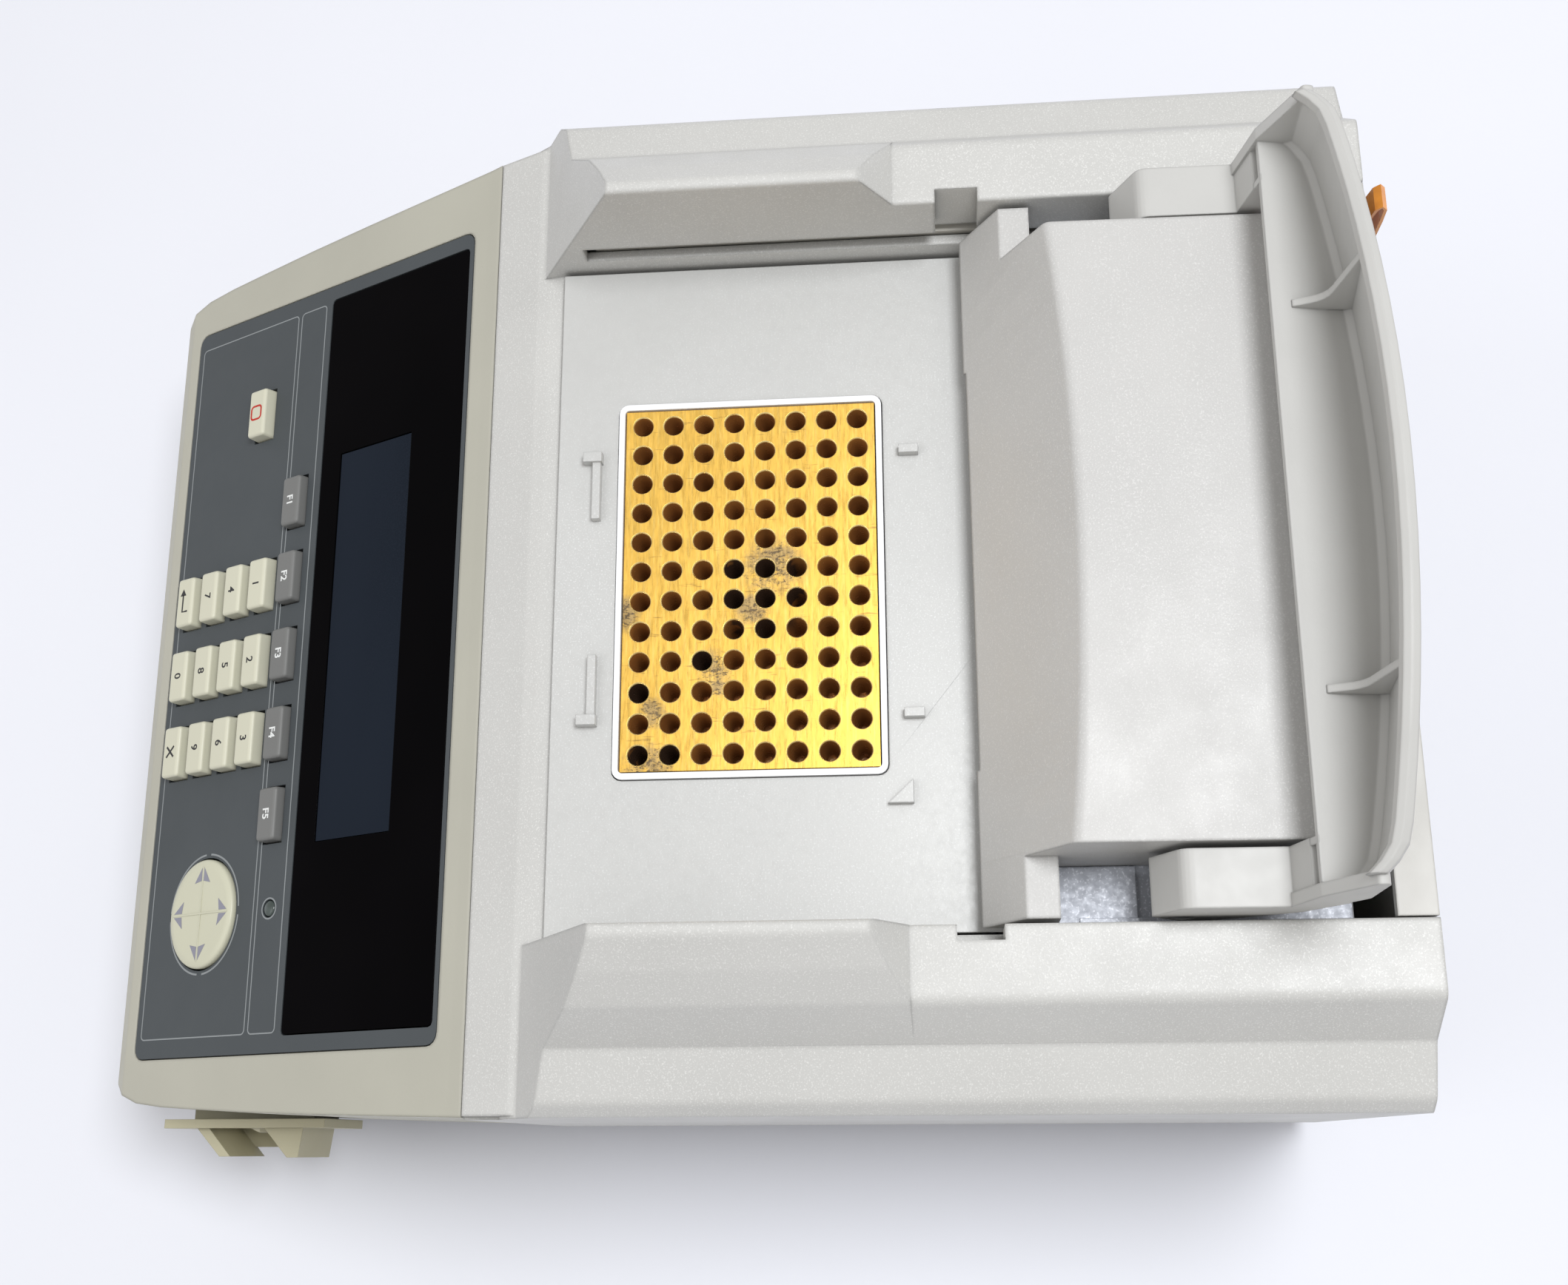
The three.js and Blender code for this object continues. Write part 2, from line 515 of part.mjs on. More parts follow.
// ---- electronics ----
const INSIDE_FLOOR = BASE_TOP - 3.2;
const SUPPLY_H = 58;
const BOARD_Z = [INSIDE_FLOOR + 6, INSIDE_FLOOR + 7.6];
const supply = box([-118, -55], [-20, 120], [INSIDE_FLOOR, INSIDE_FLOOR + SUPPLY_H]);
addPart('power_supply', supply, [0xa9acae, 0.4, 0.8]);
addPart('main_board', box([-112, 112], [-180, -60], BOARD_Z), [0x2b5a36, 0.5]);
const standoffs = {
  front_left: [-104, -172], front_right: [104, -172], rear_left: [-104, -68], rear_right: [104, -68],
};
for (const [place, at] of Object.entries(standoffs)) {
  addPart(`board_standoff_${place}`, rod('z', at, 3.4, 3.4, INSIDE_FLOOR - 0.2, BOARD_Z[0] - 0.3, 8), STEEL);
}

// ---- rear panel with power inlet ----
const REAR_HALF_X = 144;
const INLET_X = [58, 88];
const INLET_Z = [-132, -108];
const rearPanel = cut(
  join(
    box([-101, 101], [REAR_Y - WALL, REAR_Y], [SHELL_BOTTOM, RAIL_TOP_Z - 0.5]),
    box([-101, 101], [REAR_Y - 10, REAR_Y], [RAIL_TOP_Z - 3.5, RAIL_TOP_Z - 0.5]),
    box([-REAR_HALF_X, REAR_HALF_X], [REAR_Y - WALL, REAR_Y], [SHELL_BOTTOM, RAIL_BOTTOM_Z - GAP]),
  ),
  box([INLET_X[0] - 0.5, INLET_X[1] + 0.5], [160, 180], [INLET_Z[0] - 0.5, INLET_Z[1] + 0.5]),
  box([-82, -69.5], [REAR_Y - 11, REAR_Y - WALL - 0.2], [RAIL_TOP_Z - 6, RAIL_TOP_Z + 2]),
);
const ventSlots = [];
for (let i = 0; i < 8; i++) {
  ventSlots.push(box([-80 + i * 14, -74 + i * 14], [160, 180], [-90, -30]));
}
addPart('rear_panel', cut(rearPanel, ...ventSlots), BEIGE);
const inletPins = [[-7, 0], [7, 0], [0, 4]].map(([dx, dz]) =>
  box([73 + dx - 1, 73 + dx + 1], [156, REAR_Y - 1], [-120 + dz - 2, -120 + dz + 2]));
addPart('power_inlet', join(
  cut(box(INLET_X, [150, REAR_Y + 1], INLET_Z), box([INLET_X[0] + 3, INLET_X[1] - 3], [157, 180],
    [INLET_Z[0] + 4, INLET_Z[1] - 4])), ...inletPins), [0x202224, 0.5]);

// ---- power switch on the right side wall ----
const PLATE_X = [145.4, 148.2];
const PLATE_Y = [-200, -147];
const PLATE_Z = [-130, -92];
const SWITCH_Y = [-186.8, -169];
const SWITCH_Z = [-122, -100];
const GUARD_Z = [-126, -96];
const SHELF_T = 2;
const guardSection = (points) => prism('z', points, GUARD_Z[0], GUARD_Z[1]);
const switchGuard = join(
  cut(box(PLATE_X, PLATE_Y, PLATE_Z), box([140, 160], SWITCH_Y, SWITCH_Z)),
  guardSection([[147.8, -191], [147.8, -187], [157, -179], [157, -182.6]].reverse()),
  guardSection([[147.8, -168.7], [157.4, -160.2], [157.4, -156.6], [147.8, -155.3]]),
  prism('z', [[147.8, -189], [154, -184], [154, -160], [147.8, -157]], GUARD_Z[0], GUARD_Z[0] + SHELF_T),
);
const bodySpan = cut(box([131, PLATE_X[0] + 0.5], [-193, -153], [-123, -99]),
  box([136, 160], SWITCH_Y, SWITCH_Z));
addPart('switch_bezel', switchGuard.add(bodySpan), [0xddd8bd, 0.5]);
const ROCKER_AT = [141, -177.9]; // x, y of the rocker's upright axis
const ROCKER_TILT = 8;
const ROCKER_HALF = 7.5;
const rocker = prism('z',
  [[-2, -ROCKER_HALF], [7.6, -ROCKER_HALF], [5.4, 0], [7.6, ROCKER_HALF], [-2, ROCKER_HALF]],
  SWITCH_Z[0] + 0.5, SWITCH_Z[1] - 0.5).rotate([0, 0, -ROCKER_TILT]).translate([...ROCKER_AT, 0]);
addPart('switch_rocker', rocker, [0xe6e2cd, 0.5]);

// ---- sliding lid carriage ----
function lidSection(x, inset) {
  const bow = CREASE_BOW * (1 - (x / LID_HALF_X) ** 2);
  const [fy, fz] = LID_FRONT;
  const [cy, cz] = LID_CREASE;
  const floor = inset ? fz - 1 : fz;
  return rounded([[fy + inset * 0.8, floor], [LID_REAR_Y - inset, floor],
    [LID_REAR_Y - inset, LID_TOP_REAR_Z - inset, 1], [cy + bow + inset * 0.8, cz - inset, CREASE_R]]);
}
function lidStations(half, inset) {
  const stations = [];
  for (let i = 0; i <= LID_STATIONS; i++) {
    const x = (i / LID_STATIONS * 2 - 1) * half;
    stations.push({ x, outline: lidSection(x, inset) });
  }
  return stations;
}
const slopeY = (z) => THREE.MathUtils.mapLinear(z, LID_FRONT[1], LID_CREASE[1], LID_FRONT[0], LID_CREASE[0]);
const pivotHole = rod('x', PIVOT, 3.4, 3.4, 70, 110, 20);
const apron = prism('x', [[LID_FRONT[0], LID_FRONT[1]], [EAR_REAR_Y, LID_FRONT[1]], [EAR_REAR_Y, EAR_Z],
  [slopeY(EAR_Z), EAR_Z]], LID_HALF_X - 1, APRON_HALF_X);
const lidCover = cut(
  join(loft(lidStations(LID_HALF_X, 0)), bothSides(apron)),
  loft(lidStations(LID_HALF_X - WALL, WALL)),
  box([-58, 58], [50, 70], [0, LID_FRONT[1] + 1]),
  box([-58, 58], [LID_REAR_Y - WALL - 1, LID_REAR_Y + 1], [0, 17]),
  bothSides(pivotHole),
);
addPart('lid_cover', lidCover, HOUSING);

const FRAME_Z = [5.4, 8];
const frameTabs = bothSides(box([98, 110], [88, 132], [7.6, 9.8]));
const uprights = bothSides(box([LID_HALF_X - WALL - 3.4, LID_HALF_X - WALL - 0.4],
  [PIVOT[0] - 8, PIVOT[0] + 8], [FRAME_Z[0], PIVOT[1] + 8]));
const lidFrame = cut(
  join(
    uprights,
    box([-98.8, 98.8], [EAR_REAR_Y + 0.4, 158], FRAME_Z),
    box([-79, 79], [67.5, EAR_REAR_Y + 1], FRAME_Z),
    bothSides(box([84.6, 99.5], [EAR_REAR_Y + 0.4, 103], [FRAME_Z[0], 9.4])),
    frameTabs,
  ),
  box([-57.6, 57.6], [66, 143], [0, 20]),
  bothSides(pivotHole),
);
addPart('lid_frame', lidFrame, STEEL);
const PLATEN_TOP = PLATEN_REST_Z + PLATEN_T;
addPart('heated_platen', box([-54.6, 54.6], PLATEN_Y, [PLATEN_REST_Z, PLATEN_TOP]), [0xb0b3b5, 0.3, 0.9]);
addPart('platen_heater_pad', box([-52, 52], [PLATEN_Y[0] + 4, LID_REAR_Y - WALL - 1],
  [PLATEN_TOP + 0.3, PLATEN_TOP + 2]), [0xb5651d, 0.5]);

// a flat amber cable in a service loop behind the lid
const LOOP_X = [-79, -72.5];
const loopPath = [[150, 10.5], [159, 10.5], [164.6, 14], [165.4, 40], [166.2, 60], [167.2, 65.6],
  [168.4, 67], [169.4, 65.6], [169.6, 60], [169.4, 40], [169, 16]];
function ribbon(path, thickness, xs) {
  const left = [];
  const right = [];
  path.forEach((p, i) => {
    const a = path[Math.max(i - 1, 0)];
    const b = path[Math.min(i + 1, path.length - 1)];
    const length = Math.hypot(b[0] - a[0], b[1] - a[1]);
    const normal = [-(b[1] - a[1]) / length * thickness / 2, (b[0] - a[0]) / length * thickness / 2];
    left.push([p[0] + normal[0], p[1] + normal[1]]);
    right.push([p[0] - normal[0], p[1] - normal[1]]);
  });
  return prism('x', [...left, ...right.reverse()], ...xs);
}

// ---- lever ----
function leverSection(x) {
  const f = (x / LEVER_HALF_X) ** 2;
  const turn = Math.max(0, Math.abs(x) - CORNER_FROM_X) / (LEVER_HALF_X - CORNER_FROM_X);
  const foldY = FOLD_Y - FOLD_BOW * f - CORNER_SHIFT * turn ** 2;
  const lean = 5 - 4 * f;
  const topZ = RIM_Z - RIM_DROP * f;
  const foldZ = PLATE_FRONT[1] - (foldY - PLATE_FRONT[0]) * PLATE_SLOPE;
  const [py, pz] = PLATE_FRONT;
  return [
    [py, pz], [py, pz - LEVER_T], [foldY + 1.2, foldZ - LEVER_T], [foldY + LEVER_T, foldZ - 0.6],
    [foldY - lean + LEVER_T + 0.8, topZ - 4], [foldY - lean + LEVER_T, topZ - 0.8],
    [foldY - lean + 0.6, topZ], [foldY - lean - 1.2, topZ - 1], [foldY - lean - 1.6, topZ - 3.4],
    [foldY - lean + 0.2, topZ - 5.6], [foldY - 0.4, foldZ + 1.6], [foldY - 2.4, foldZ + 0.5],
  ];
}
const leverStations = [];
for (let i = 0; i <= LEVER_STATIONS; i++) {
  // closer together towards the ends, where the rim turns
  const x = Math.sin((i / LEVER_STATIONS - 0.5) * Math.PI) * (LEVER_HALF_X + 1);
  leverStations.push({ x, outline: leverSection(x) });
}
const endSection = rounded([[151.2, 80.4, 2], [148.4, 80.8, 1], [139.6, 61.6, 2], [135.8, 43.9], [149, 52],
  [151.6, 57.8, 1]]);
const endWall = prism('x', endSection.reverse(), LEVER_HALF_X, LEVER_END_X);
const armSection = rounded([[104, 30, 2], [112, 20, 5], [121, 20.5, 4], [140, 34, 6], [149, 50, 3], [147.4, 56.5],
  [139, 56], [136.5, 44.4], [111, 44.8, 4]]);
const arm = cut(prism('x', armSection, ARM_IN_X, LEVER_END_X),
  rod('x', PIVOT, 3.2, 3.2, 80, 110, 20));
const gussetSection = rounded(
  [[145.4, 58.6], [145.4, 60.2], [153.4, 63, 12], [157.8, 88.6], [159, 88.4], [162, 56.6]]);
const gusset = prism('x', gussetSection.reverse(), ...GUSSET_X);
const smallGusset = prism('x', [[140.3, 61], [136.6, 44], [140, 44], [143, 57]], ARM_IN_X, ARM_IN_X + 1.8);
const leverParts = [endWall, arm, gusset, smallGusset].map(bothSides);
addPart('lever', join(loft(leverStations), ...leverParts), HOUSING);

// pivot pins stand out of the carriage frame's uprights into the lever's arms
for (const [side, sign] of [['left', -1], ['right', 1]]) {
  const pin = rod('x', PIVOT, 2.9, 2.9, LID_HALF_X - WALL - 3.8, LEVER_END_X - 0.2, 20);
  addPart(`lever_pin_${side}`, sign < 0 ? mirrorX(pin) : pin, STEEL);
  const rail = join(
    box(RUNNER_X, RUNNER_Y, [RUNNER_TOP - RUNNER_T, RUNNER_TOP]),
    box([RUNNER_X[1] - 2, RUNNER_X[1]], RUNNER_Y, [RUNNER_TOP - RUNNER_T, RUNNER_WEB_TOP]),
  );
  addPart(`slide_rail_${side}`, sign < 0 ? mirrorX(rail) : rail, STEEL);
}
addPart('flex_cable', ribbon(loopPath, 0.8, LOOP_X), [0xc06a1c, 0.35]);

// ---- origin at the bottom centre of the bounding box ----
const bounds = new THREE.Box3().setFromObject(machine);
const origin = new THREE.Vector3((bounds.min.x + bounds.max.x) / 2, (bounds.min.y + bounds.max.y) / 2, bounds.min.z);
machine.children.forEach((part) => part.position.sub(origin));

export default machine;
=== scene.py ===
import math

import bmesh
import bpy
from mathutils import Matrix, Vector


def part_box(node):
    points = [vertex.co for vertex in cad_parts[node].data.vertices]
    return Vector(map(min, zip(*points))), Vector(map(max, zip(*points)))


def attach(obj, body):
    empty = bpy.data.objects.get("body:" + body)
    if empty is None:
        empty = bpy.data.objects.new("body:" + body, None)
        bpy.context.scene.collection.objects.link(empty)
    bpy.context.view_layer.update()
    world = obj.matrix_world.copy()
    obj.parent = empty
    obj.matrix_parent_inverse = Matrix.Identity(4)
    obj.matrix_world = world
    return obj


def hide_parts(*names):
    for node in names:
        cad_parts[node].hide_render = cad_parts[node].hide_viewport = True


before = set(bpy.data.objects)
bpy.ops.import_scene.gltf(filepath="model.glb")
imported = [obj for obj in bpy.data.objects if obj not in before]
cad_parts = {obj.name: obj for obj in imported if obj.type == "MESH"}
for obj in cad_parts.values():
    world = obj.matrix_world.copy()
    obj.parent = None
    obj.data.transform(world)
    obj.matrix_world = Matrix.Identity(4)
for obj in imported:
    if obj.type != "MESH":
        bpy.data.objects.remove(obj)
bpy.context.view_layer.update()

MM = 0.001

# ---- reference points, all taken from the CAD boxes ----
block_lo, block_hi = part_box("sample_block")
# the block's highest face stands this far above the zero height of the block frame, in millimetres
BLOCK_PROUD = 0.2
# the block frame's origin, at the centre of the block's top
BLOCK_TOP = Vector((
    (block_lo.x + block_hi.x) / 2,
    (block_lo.y + block_hi.y) / 2,
    block_hi.z - BLOCK_PROUD * MM))
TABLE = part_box("foot_front_left")[0].z
bezel_lo, bezel_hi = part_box("panel_bezel")
SLOPE = math.radians(29.19)
BEZEL_T = 2.0
# the bezel's front edge, up the slope from the panel frame's zero
BEZEL_FRONT = -4.0
UP_SLOPE = Vector((0, math.cos(SLOPE), math.sin(SLOPE)))
OUT = Vector((0, -math.sin(SLOPE), math.cos(SLOPE)))
# the bezel's front edge on its top face
front_edge = Vector(((bezel_lo.x + bezel_hi.x) / 2, bezel_lo.y, bezel_lo.z + BEZEL_T * MM * math.cos(SLOPE)))
PANEL_ZERO = front_edge - UP_SLOPE * (BEZEL_FRONT * MM)
PANEL = Matrix((
    (1, UP_SLOPE.x, OUT.x, PANEL_ZERO.x),
    (0, UP_SLOPE.y, OUT.y, PANEL_ZERO.y),
    (0, UP_SLOPE.z, OUT.z, PANEL_ZERO.z),
    (0, 0, 0, 1)))
BLOCK = Matrix.Translation(BLOCK_TOP)


# ---- procedural materials ----
class Graph:
    """A material's node tree with short ways to add nodes."""

    def __init__(self, name, base, rough, metal=0.0):
        self.mat = bpy.data.materials.new(name)
        self.mat.use_nodes = True
        self.tree = self.mat.node_tree
        self.shader = self.tree.nodes["Principled BSDF"]
        self.shader.inputs["Base Color"].default_value = (*base, 1)
        self.shader.inputs["Roughness"].default_value = rough
        self.shader.inputs["Metallic"].default_value = metal
        self.mat.diffuse_color = (*base, 1)
        self.coords = self.add("ShaderNodeTexCoord").outputs["Object"]

    def add(self, kind, **settings):
        node = self.tree.nodes.new(kind)
        for key, value in settings.items():
            setattr(node, key, value)
        return node

    def link(self, source, target):
        self.tree.links.new(source, target)

    def stretched(self, scale):
        node = self.add("ShaderNodeMapping")
        node.inputs["Scale"].default_value = scale
        self.link(self.coords, node.inputs["Vector"])
        return node.outputs["Vector"]

    def noise(self, scale, detail=3.0, roughness=0.6, stretch=None):
        node = self.add("ShaderNodeTexNoise")
        node.inputs["Scale"].default_value = scale
        node.inputs["Detail"].default_value = detail
        node.inputs["Roughness"].default_value = roughness
        self.link(self.stretched(stretch) if stretch else self.coords, node.inputs["Vector"])
        return node.outputs["Fac"]

    def remap(self, value, low, high, to_low=0.0, to_high=1.0):
        node = self.add("ShaderNodeMapRange")
        node.inputs["From Min"].default_value = low
        node.inputs["From Max"].default_value = high
        node.inputs["To Min"].default_value = to_low
        node.inputs["To Max"].default_value = to_high
        self.link(value, node.inputs["Value"])
        return node.outputs["Result"]

    def blend(self, amount, first, second):
        """first and second are colours or sockets; amount is a socket."""
        node = self.add("ShaderNodeMix", data_type="RGBA")
        self.link(amount, node.inputs[0])
        for socket, value in ((node.inputs[6], first), (node.inputs[7], second)):
            if isinstance(value, (tuple, list)):
                socket.default_value = (*value, 1)
            else:
                self.link(value, socket)
        return node.outputs[2]

    def times(self, a, b):
        node = self.add("ShaderNodeMath", operation="MULTIPLY")
        self.link(a, node.inputs[0])
        if isinstance(b, (int, float)):
            node.inputs[1].default_value = b
        else:
            self.link(b, node.inputs[1])
        return node.outputs[0]

    def painted_corner_shade(self, colour, darker, reach_mm=3.0, amount=0.35):
        """Painted shade in corners and creases, darkened by ambient occlusion."""
        node = self.add("ShaderNodeAmbientOcclusion", samples=8)
        node.inputs["Distance"].default_value = reach_mm * MM
        mask = self.remap(node.outputs["AO"], 0.35, 0.95, amount, 0.0)
        return self.blend(mask, colour, darker)

    def colour(self, socket):
        self.link(socket, self.shader.inputs["Base Color"])

    def rough(self, socket):
        self.link(socket, self.shader.inputs["Roughness"])

    def bump(self, height, depth_mm, strength=1.0, soften_mm=None):
        node = self.add("ShaderNodeBump")
        node.inputs["Strength"].default_value = strength
        node.inputs["Distance"].default_value = depth_mm * MM
        self.link(height, node.inputs["Height"])
        if soften_mm:
            edge = self.add("ShaderNodeBevel", samples=4)
            edge.inputs["Radius"].default_value = soften_mm * MM
            self.link(edge.outputs["Normal"], node.inputs["Normal"])
        self.link(node.outputs["Normal"], self.shader.inputs["Normal"])


def shade(colour, factor):
    return tuple(c * factor for c in colour)


def plastic(name, base, rough=0.45, grain_mm=0.05, grain_scale=900, soften=0.5, mottle=0.93,
            specular=0.5, painted_corner_shade=0.35, chip=None, fleck=0.0):
    """fleck brightens scattered grains; chip is a point where the surface is scuffed dark along Y."""
    g = Graph(name, base, rough)
    patches = g.remap(g.noise(14, 4), 0.35, 0.7)
    colour = g.blend(patches, base, shade(base, mottle))
    if fleck:
        grains = g.remap(g.noise(2300, 2, 0.5), 0.54, 0.7)
        colour = g.blend(grains, colour, tuple(c + fleck for c in base))
    if chip:
        squeeze = (1, 0.2, 0.5)
        away = g.add("ShaderNodeVectorMath", operation="DISTANCE")
        g.link(g.stretched(squeeze), away.inputs[0])
        away.inputs[1].default_value = [c * k for c, k in zip(chip, squeeze)]
        ragged = g.times(away.outputs["Value"], g.remap(g.noise(700, 3, 0.7), 0.3, 0.7, 0.7, 1.6))
        colour = g.blend(g.remap(ragged, 0.55 * MM, 0.9 * MM), (0.07, 0.065, 0.06), colour)
    # painted shade: corners and creases darkened by ambient occlusion
    colour = g.painted_corner_shade(colour, shade(base, 0.45), 2.5, painted_corner_shade)
    g.colour(colour)
    g.rough(g.remap(g.noise(60, 3), 0.3, 0.7, rough - 0.06, rough + 0.08))
    g.bump(g.noise(grain_scale, 2, 0.5), grain_mm, 0.7, soften)
    g.shader.inputs["Specular IOR Level"].default_value = specular
    return g.mat


def metal(name, base, rough=0.35, streak=(1, 1, 1), soften=0.3, wear=0.8):
    g = Graph(name, base, rough, 1.0)
    lines = g.noise(220, 4, 0.7, streak)
    g.colour(g.blend(g.remap(lines, 0.35, 0.7), base, shade(base, wear)))
    g.rough(g.remap(lines, 0.3, 0.75, rough - 0.08, rough + 0.12))
    g.bump(lines, 0.03, 0.5, soften)
    return g.mat


# a scuff on the left rail's outer edge, in millimetres in the block frame
CHIP_AT = (-146.3, 58.6, 7.5)
HOUSING = (0.58, 0.578, 0.56)
LID = (0.545, 0.54, 0.528)
IVORY = (0.66, 0.65, 0.52)

housing = plastic("housing_plastic", HOUSING, 0.42, 0.08, 1100, 1.6,
                  chip=BLOCK_TOP + Vector(CHIP_AT) * MM, fleck=0.11)
casing = plastic("casing_plastic", (0.475, 0.465, 0.395), 0.45, 0.05, 1000, 1.6)
lid_plastic = plastic("lid_plastic", LID, 0.42, 0.06, 1100, 1.3, fleck=0.08)
lever_plastic = plastic("lever_plastic", (0.54, 0.537, 0.52), 0.42, 0.035, 900, 0.9)
rear_plastic = plastic("rear_plastic", (0.58, 0.57, 0.54), 0.45, 0.05, 1000, 0.8)
overlay = plastic("overlay_film", (0.07, 0.08, 0.087), 0.5, 0.015, 1500, 0.3, 0.9, 0.35, 0.2)
ivory_key = plastic("ivory_key", IVORY, 0.4, 0.012, 1400, 0.2, 0.95, 0.5, 0.3)
grey_key = plastic("grey_key", (0.19, 0.192, 0.188), 0.45, 0.012, 1400, 0.2, 0.92, 0.4, 0.3)
pad_ivory = plastic("pad_ivory", (0.61, 0.605, 0.47), 0.38, 0.012, 1400, 0.2, 0.95, 0.5, 0.25)
runner_paint = plastic("runner_paint", (0.72, 0.70, 0.64), 0.35, 0.02, 900, 0.3, 0.94)
switch_cream = plastic("switch_cream", (0.47, 0.44, 0.305), 0.42, 0.03, 900, 0.4, 0.9)
rocker_cream = plastic("rocker_cream", (0.62, 0.59, 0.45), 0.35, 0.02, 900, 0.4, 0.92)
dark_plastic = plastic("dark_plastic", (0.02, 0.021, 0.023), 0.4, 0.03, 800, 0.4, 0.8)
rubber = plastic("foot_rubber", (0.025, 0.025, 0.025), 0.7, 0.08, 700, 0.5, 0.7)
seal_white = plastic("seal_white", (0.86, 0.865, 0.88), 0.4, 0.01, 900, 0.2, 0.97, 0.5, 0.15)
ceramic = plastic("ceramic", (0.75, 0.74, 0.7), 0.6, 0.02, 700, 0.2, 0.95)
board_green = plastic("board_green", (0.03, 0.13, 0.05), 0.45, 0.02, 600, 0.2, 0.7)
base_paint = plastic("base_paint", (0.25, 0.26, 0.27), 0.4, 0.05, 900, 0.4, 0.85)
heater_pad = plastic("heater_pad", (0.4, 0.13, 0.03), 0.5, 0.03, 500, 0.2, 0.8)
print_line = plastic("print_line", (0.27, 0.29, 0.30), 0.5, 0.005, 900, None, 0.95)
print_black = plastic("print_black", (0.03, 0.03, 0.032), 0.5, 0.005, 900, None, 0.9)
print_red = plastic("print_red", (0.55, 0.03, 0.015), 0.5, 0.005, 900, None, 0.9)
print_pale = plastic("print_pale", (0.82, 0.84, 0.83), 0.5, 0.005, 900, None, 0.95)
print_grey = plastic("print_grey", (0.27, 0.27, 0.33), 0.5, 0.005, 900, None, 0.95)
steel = metal("steel", (0.62, 0.63, 0.65), 0.3, (1, 0.1, 1))
aluminium = metal("aluminium", (0.6, 0.61, 0.62), 0.35, (1, 0.1, 1))
platen_metal = metal("platen_metal", (0.6, 0.6, 0.6), 0.3, (0.1, 1, 1))
supply_metal = metal("supply_metal", (0.55, 0.56, 0.57), 0.4)


def deck_paint():
    """Light grey paint with a sparkling, slightly orange-peel surface."""
    base = (0.575, 0.577, 0.565)
    g = Graph("deck_paint", base, 0.4, 0.08)
    speck = g.noise(2000, 2, 0.5)
    colour = g.blend(g.remap(speck, 0.56, 0.7), base, (0.71, 0.715, 0.71))
    colour = g.blend(g.remap(g.noise(9, 4), 0.35, 0.7), colour, shade(base, 0.95))
    # painted shade: corners and creases darkened by ambient occlusion
    g.colour(g.painted_corner_shade(colour, (0.3, 0.29, 0.27), 2.0, 0.3))
    g.rough(g.remap(g.noise(500, 2), 0.3, 0.7, 0.3, 0.44))
    g.bump(g.noise(900, 2, 0.5), 0.035, 0.5, 0.5)
    return g.mat


def frame_paint():
    """The same sparkling paint on the lid carriage's metal frame."""
    base = (0.4, 0.42, 0.47)
    g = Graph("frame_paint", base, 0.42, 0.1)
    speck = g.noise(1300, 2, 0.5)
    g.colour(g.blend(g.remap(speck, 0.55, 0.7), base, (0.66, 0.68, 0.74)))
    g.rough(g.remap(g.noise(500, 2), 0.3, 0.7, 0.3, 0.5))
    g.bump(g.noise(900, 2, 0.5), 0.05, 0.6, 0.3)
    return g.mat


# worn places on the block: x and y from its centre and reach, in millimetres
TARNISH = ((-5, 6.7, 13), (8, 1, 7), (25, -9.4, 8), (37.5, -27.6, 6), (54, -28, 11), (8, -36, 7), (30, -9, 5))
# wells that have gone nearly black, given the same way
BLACKENED = ((2, 2, 16), (50, -27, 9), (31.5, -31.5, 5), (22.5, -13.5, 5))


def near(g, places):
    """A mask that is 1 at each place and falls to 0 at its reach."""
    result = None
    for x, y, reach in places:
        away = g.add("ShaderNodeVectorMath", operation="DISTANCE")
        flat = g.stretched((1, 1, 0))
        g.link(flat, away.inputs[0])
        away.inputs[1].default_value = (BLOCK_TOP.x + x * MM, BLOCK_TOP.y + y * MM, 0)
        here = g.remap(away.outputs["Value"], 0, reach * MM, 1, 0)
        if result is None:
            result = here
        else:
            most = g.add("ShaderNodeMath", operation="MAXIMUM")
            g.link(result, most.inputs[0])
            g.link(here, most.inputs[1])
            result = most.outputs[0]
    return result


def gold():
    """Gold-coloured plating with fine scratches along X and grey tarnish in worn places."""
    base = (0.93, 0.57, 0.11)
    g = Graph("gold_plating", base, 0.33, 0.75)
    scratch = g.noise(90, 5, 0.75, (1, 14, 1))
    colour = g.blend(g.remap(scratch, 0.5, 0.75), base, (0.97, 0.68, 0.2))
    worn = near(g, TARNISH)
    ragged = g.times(worn, g.remap(g.noise(130, 6, 0.8), 0.3, 0.65, 0, 2.2))
    colour = g.blend(g.times(g.remap(ragged, 0.2, 0.9), 0.8), colour, (0.4, 0.29, 0.15))
    specks = g.times(worn, g.remap(g.noise(520, 5, 0.8, (2, 1, 1)), 0.45, 0.66, 0, 2.2))
    colour = g.blend(g.times(g.remap(specks, 0.4, 0.8), 0.8), colour, (0.09, 0.07, 0.055))
    streaks = g.remap(g.noise(520, 3, 0.8, (1, 0.12, 1)), 0.63, 0.7)
    colour = g.blend(g.times(streaks, 0.6), colour, (0.3, 0.18, 0.06))
    g.colour(colour)
    g.rough(g.remap(g.noise(160, 4, 0.7, (1, 8, 1)), 0.3, 0.75, 0.22, 0.5))
    g.bump(g.noise(300, 4, 0.7, (1, 10, 1)), 0.02, 0.5, 0.15)
    return g.mat


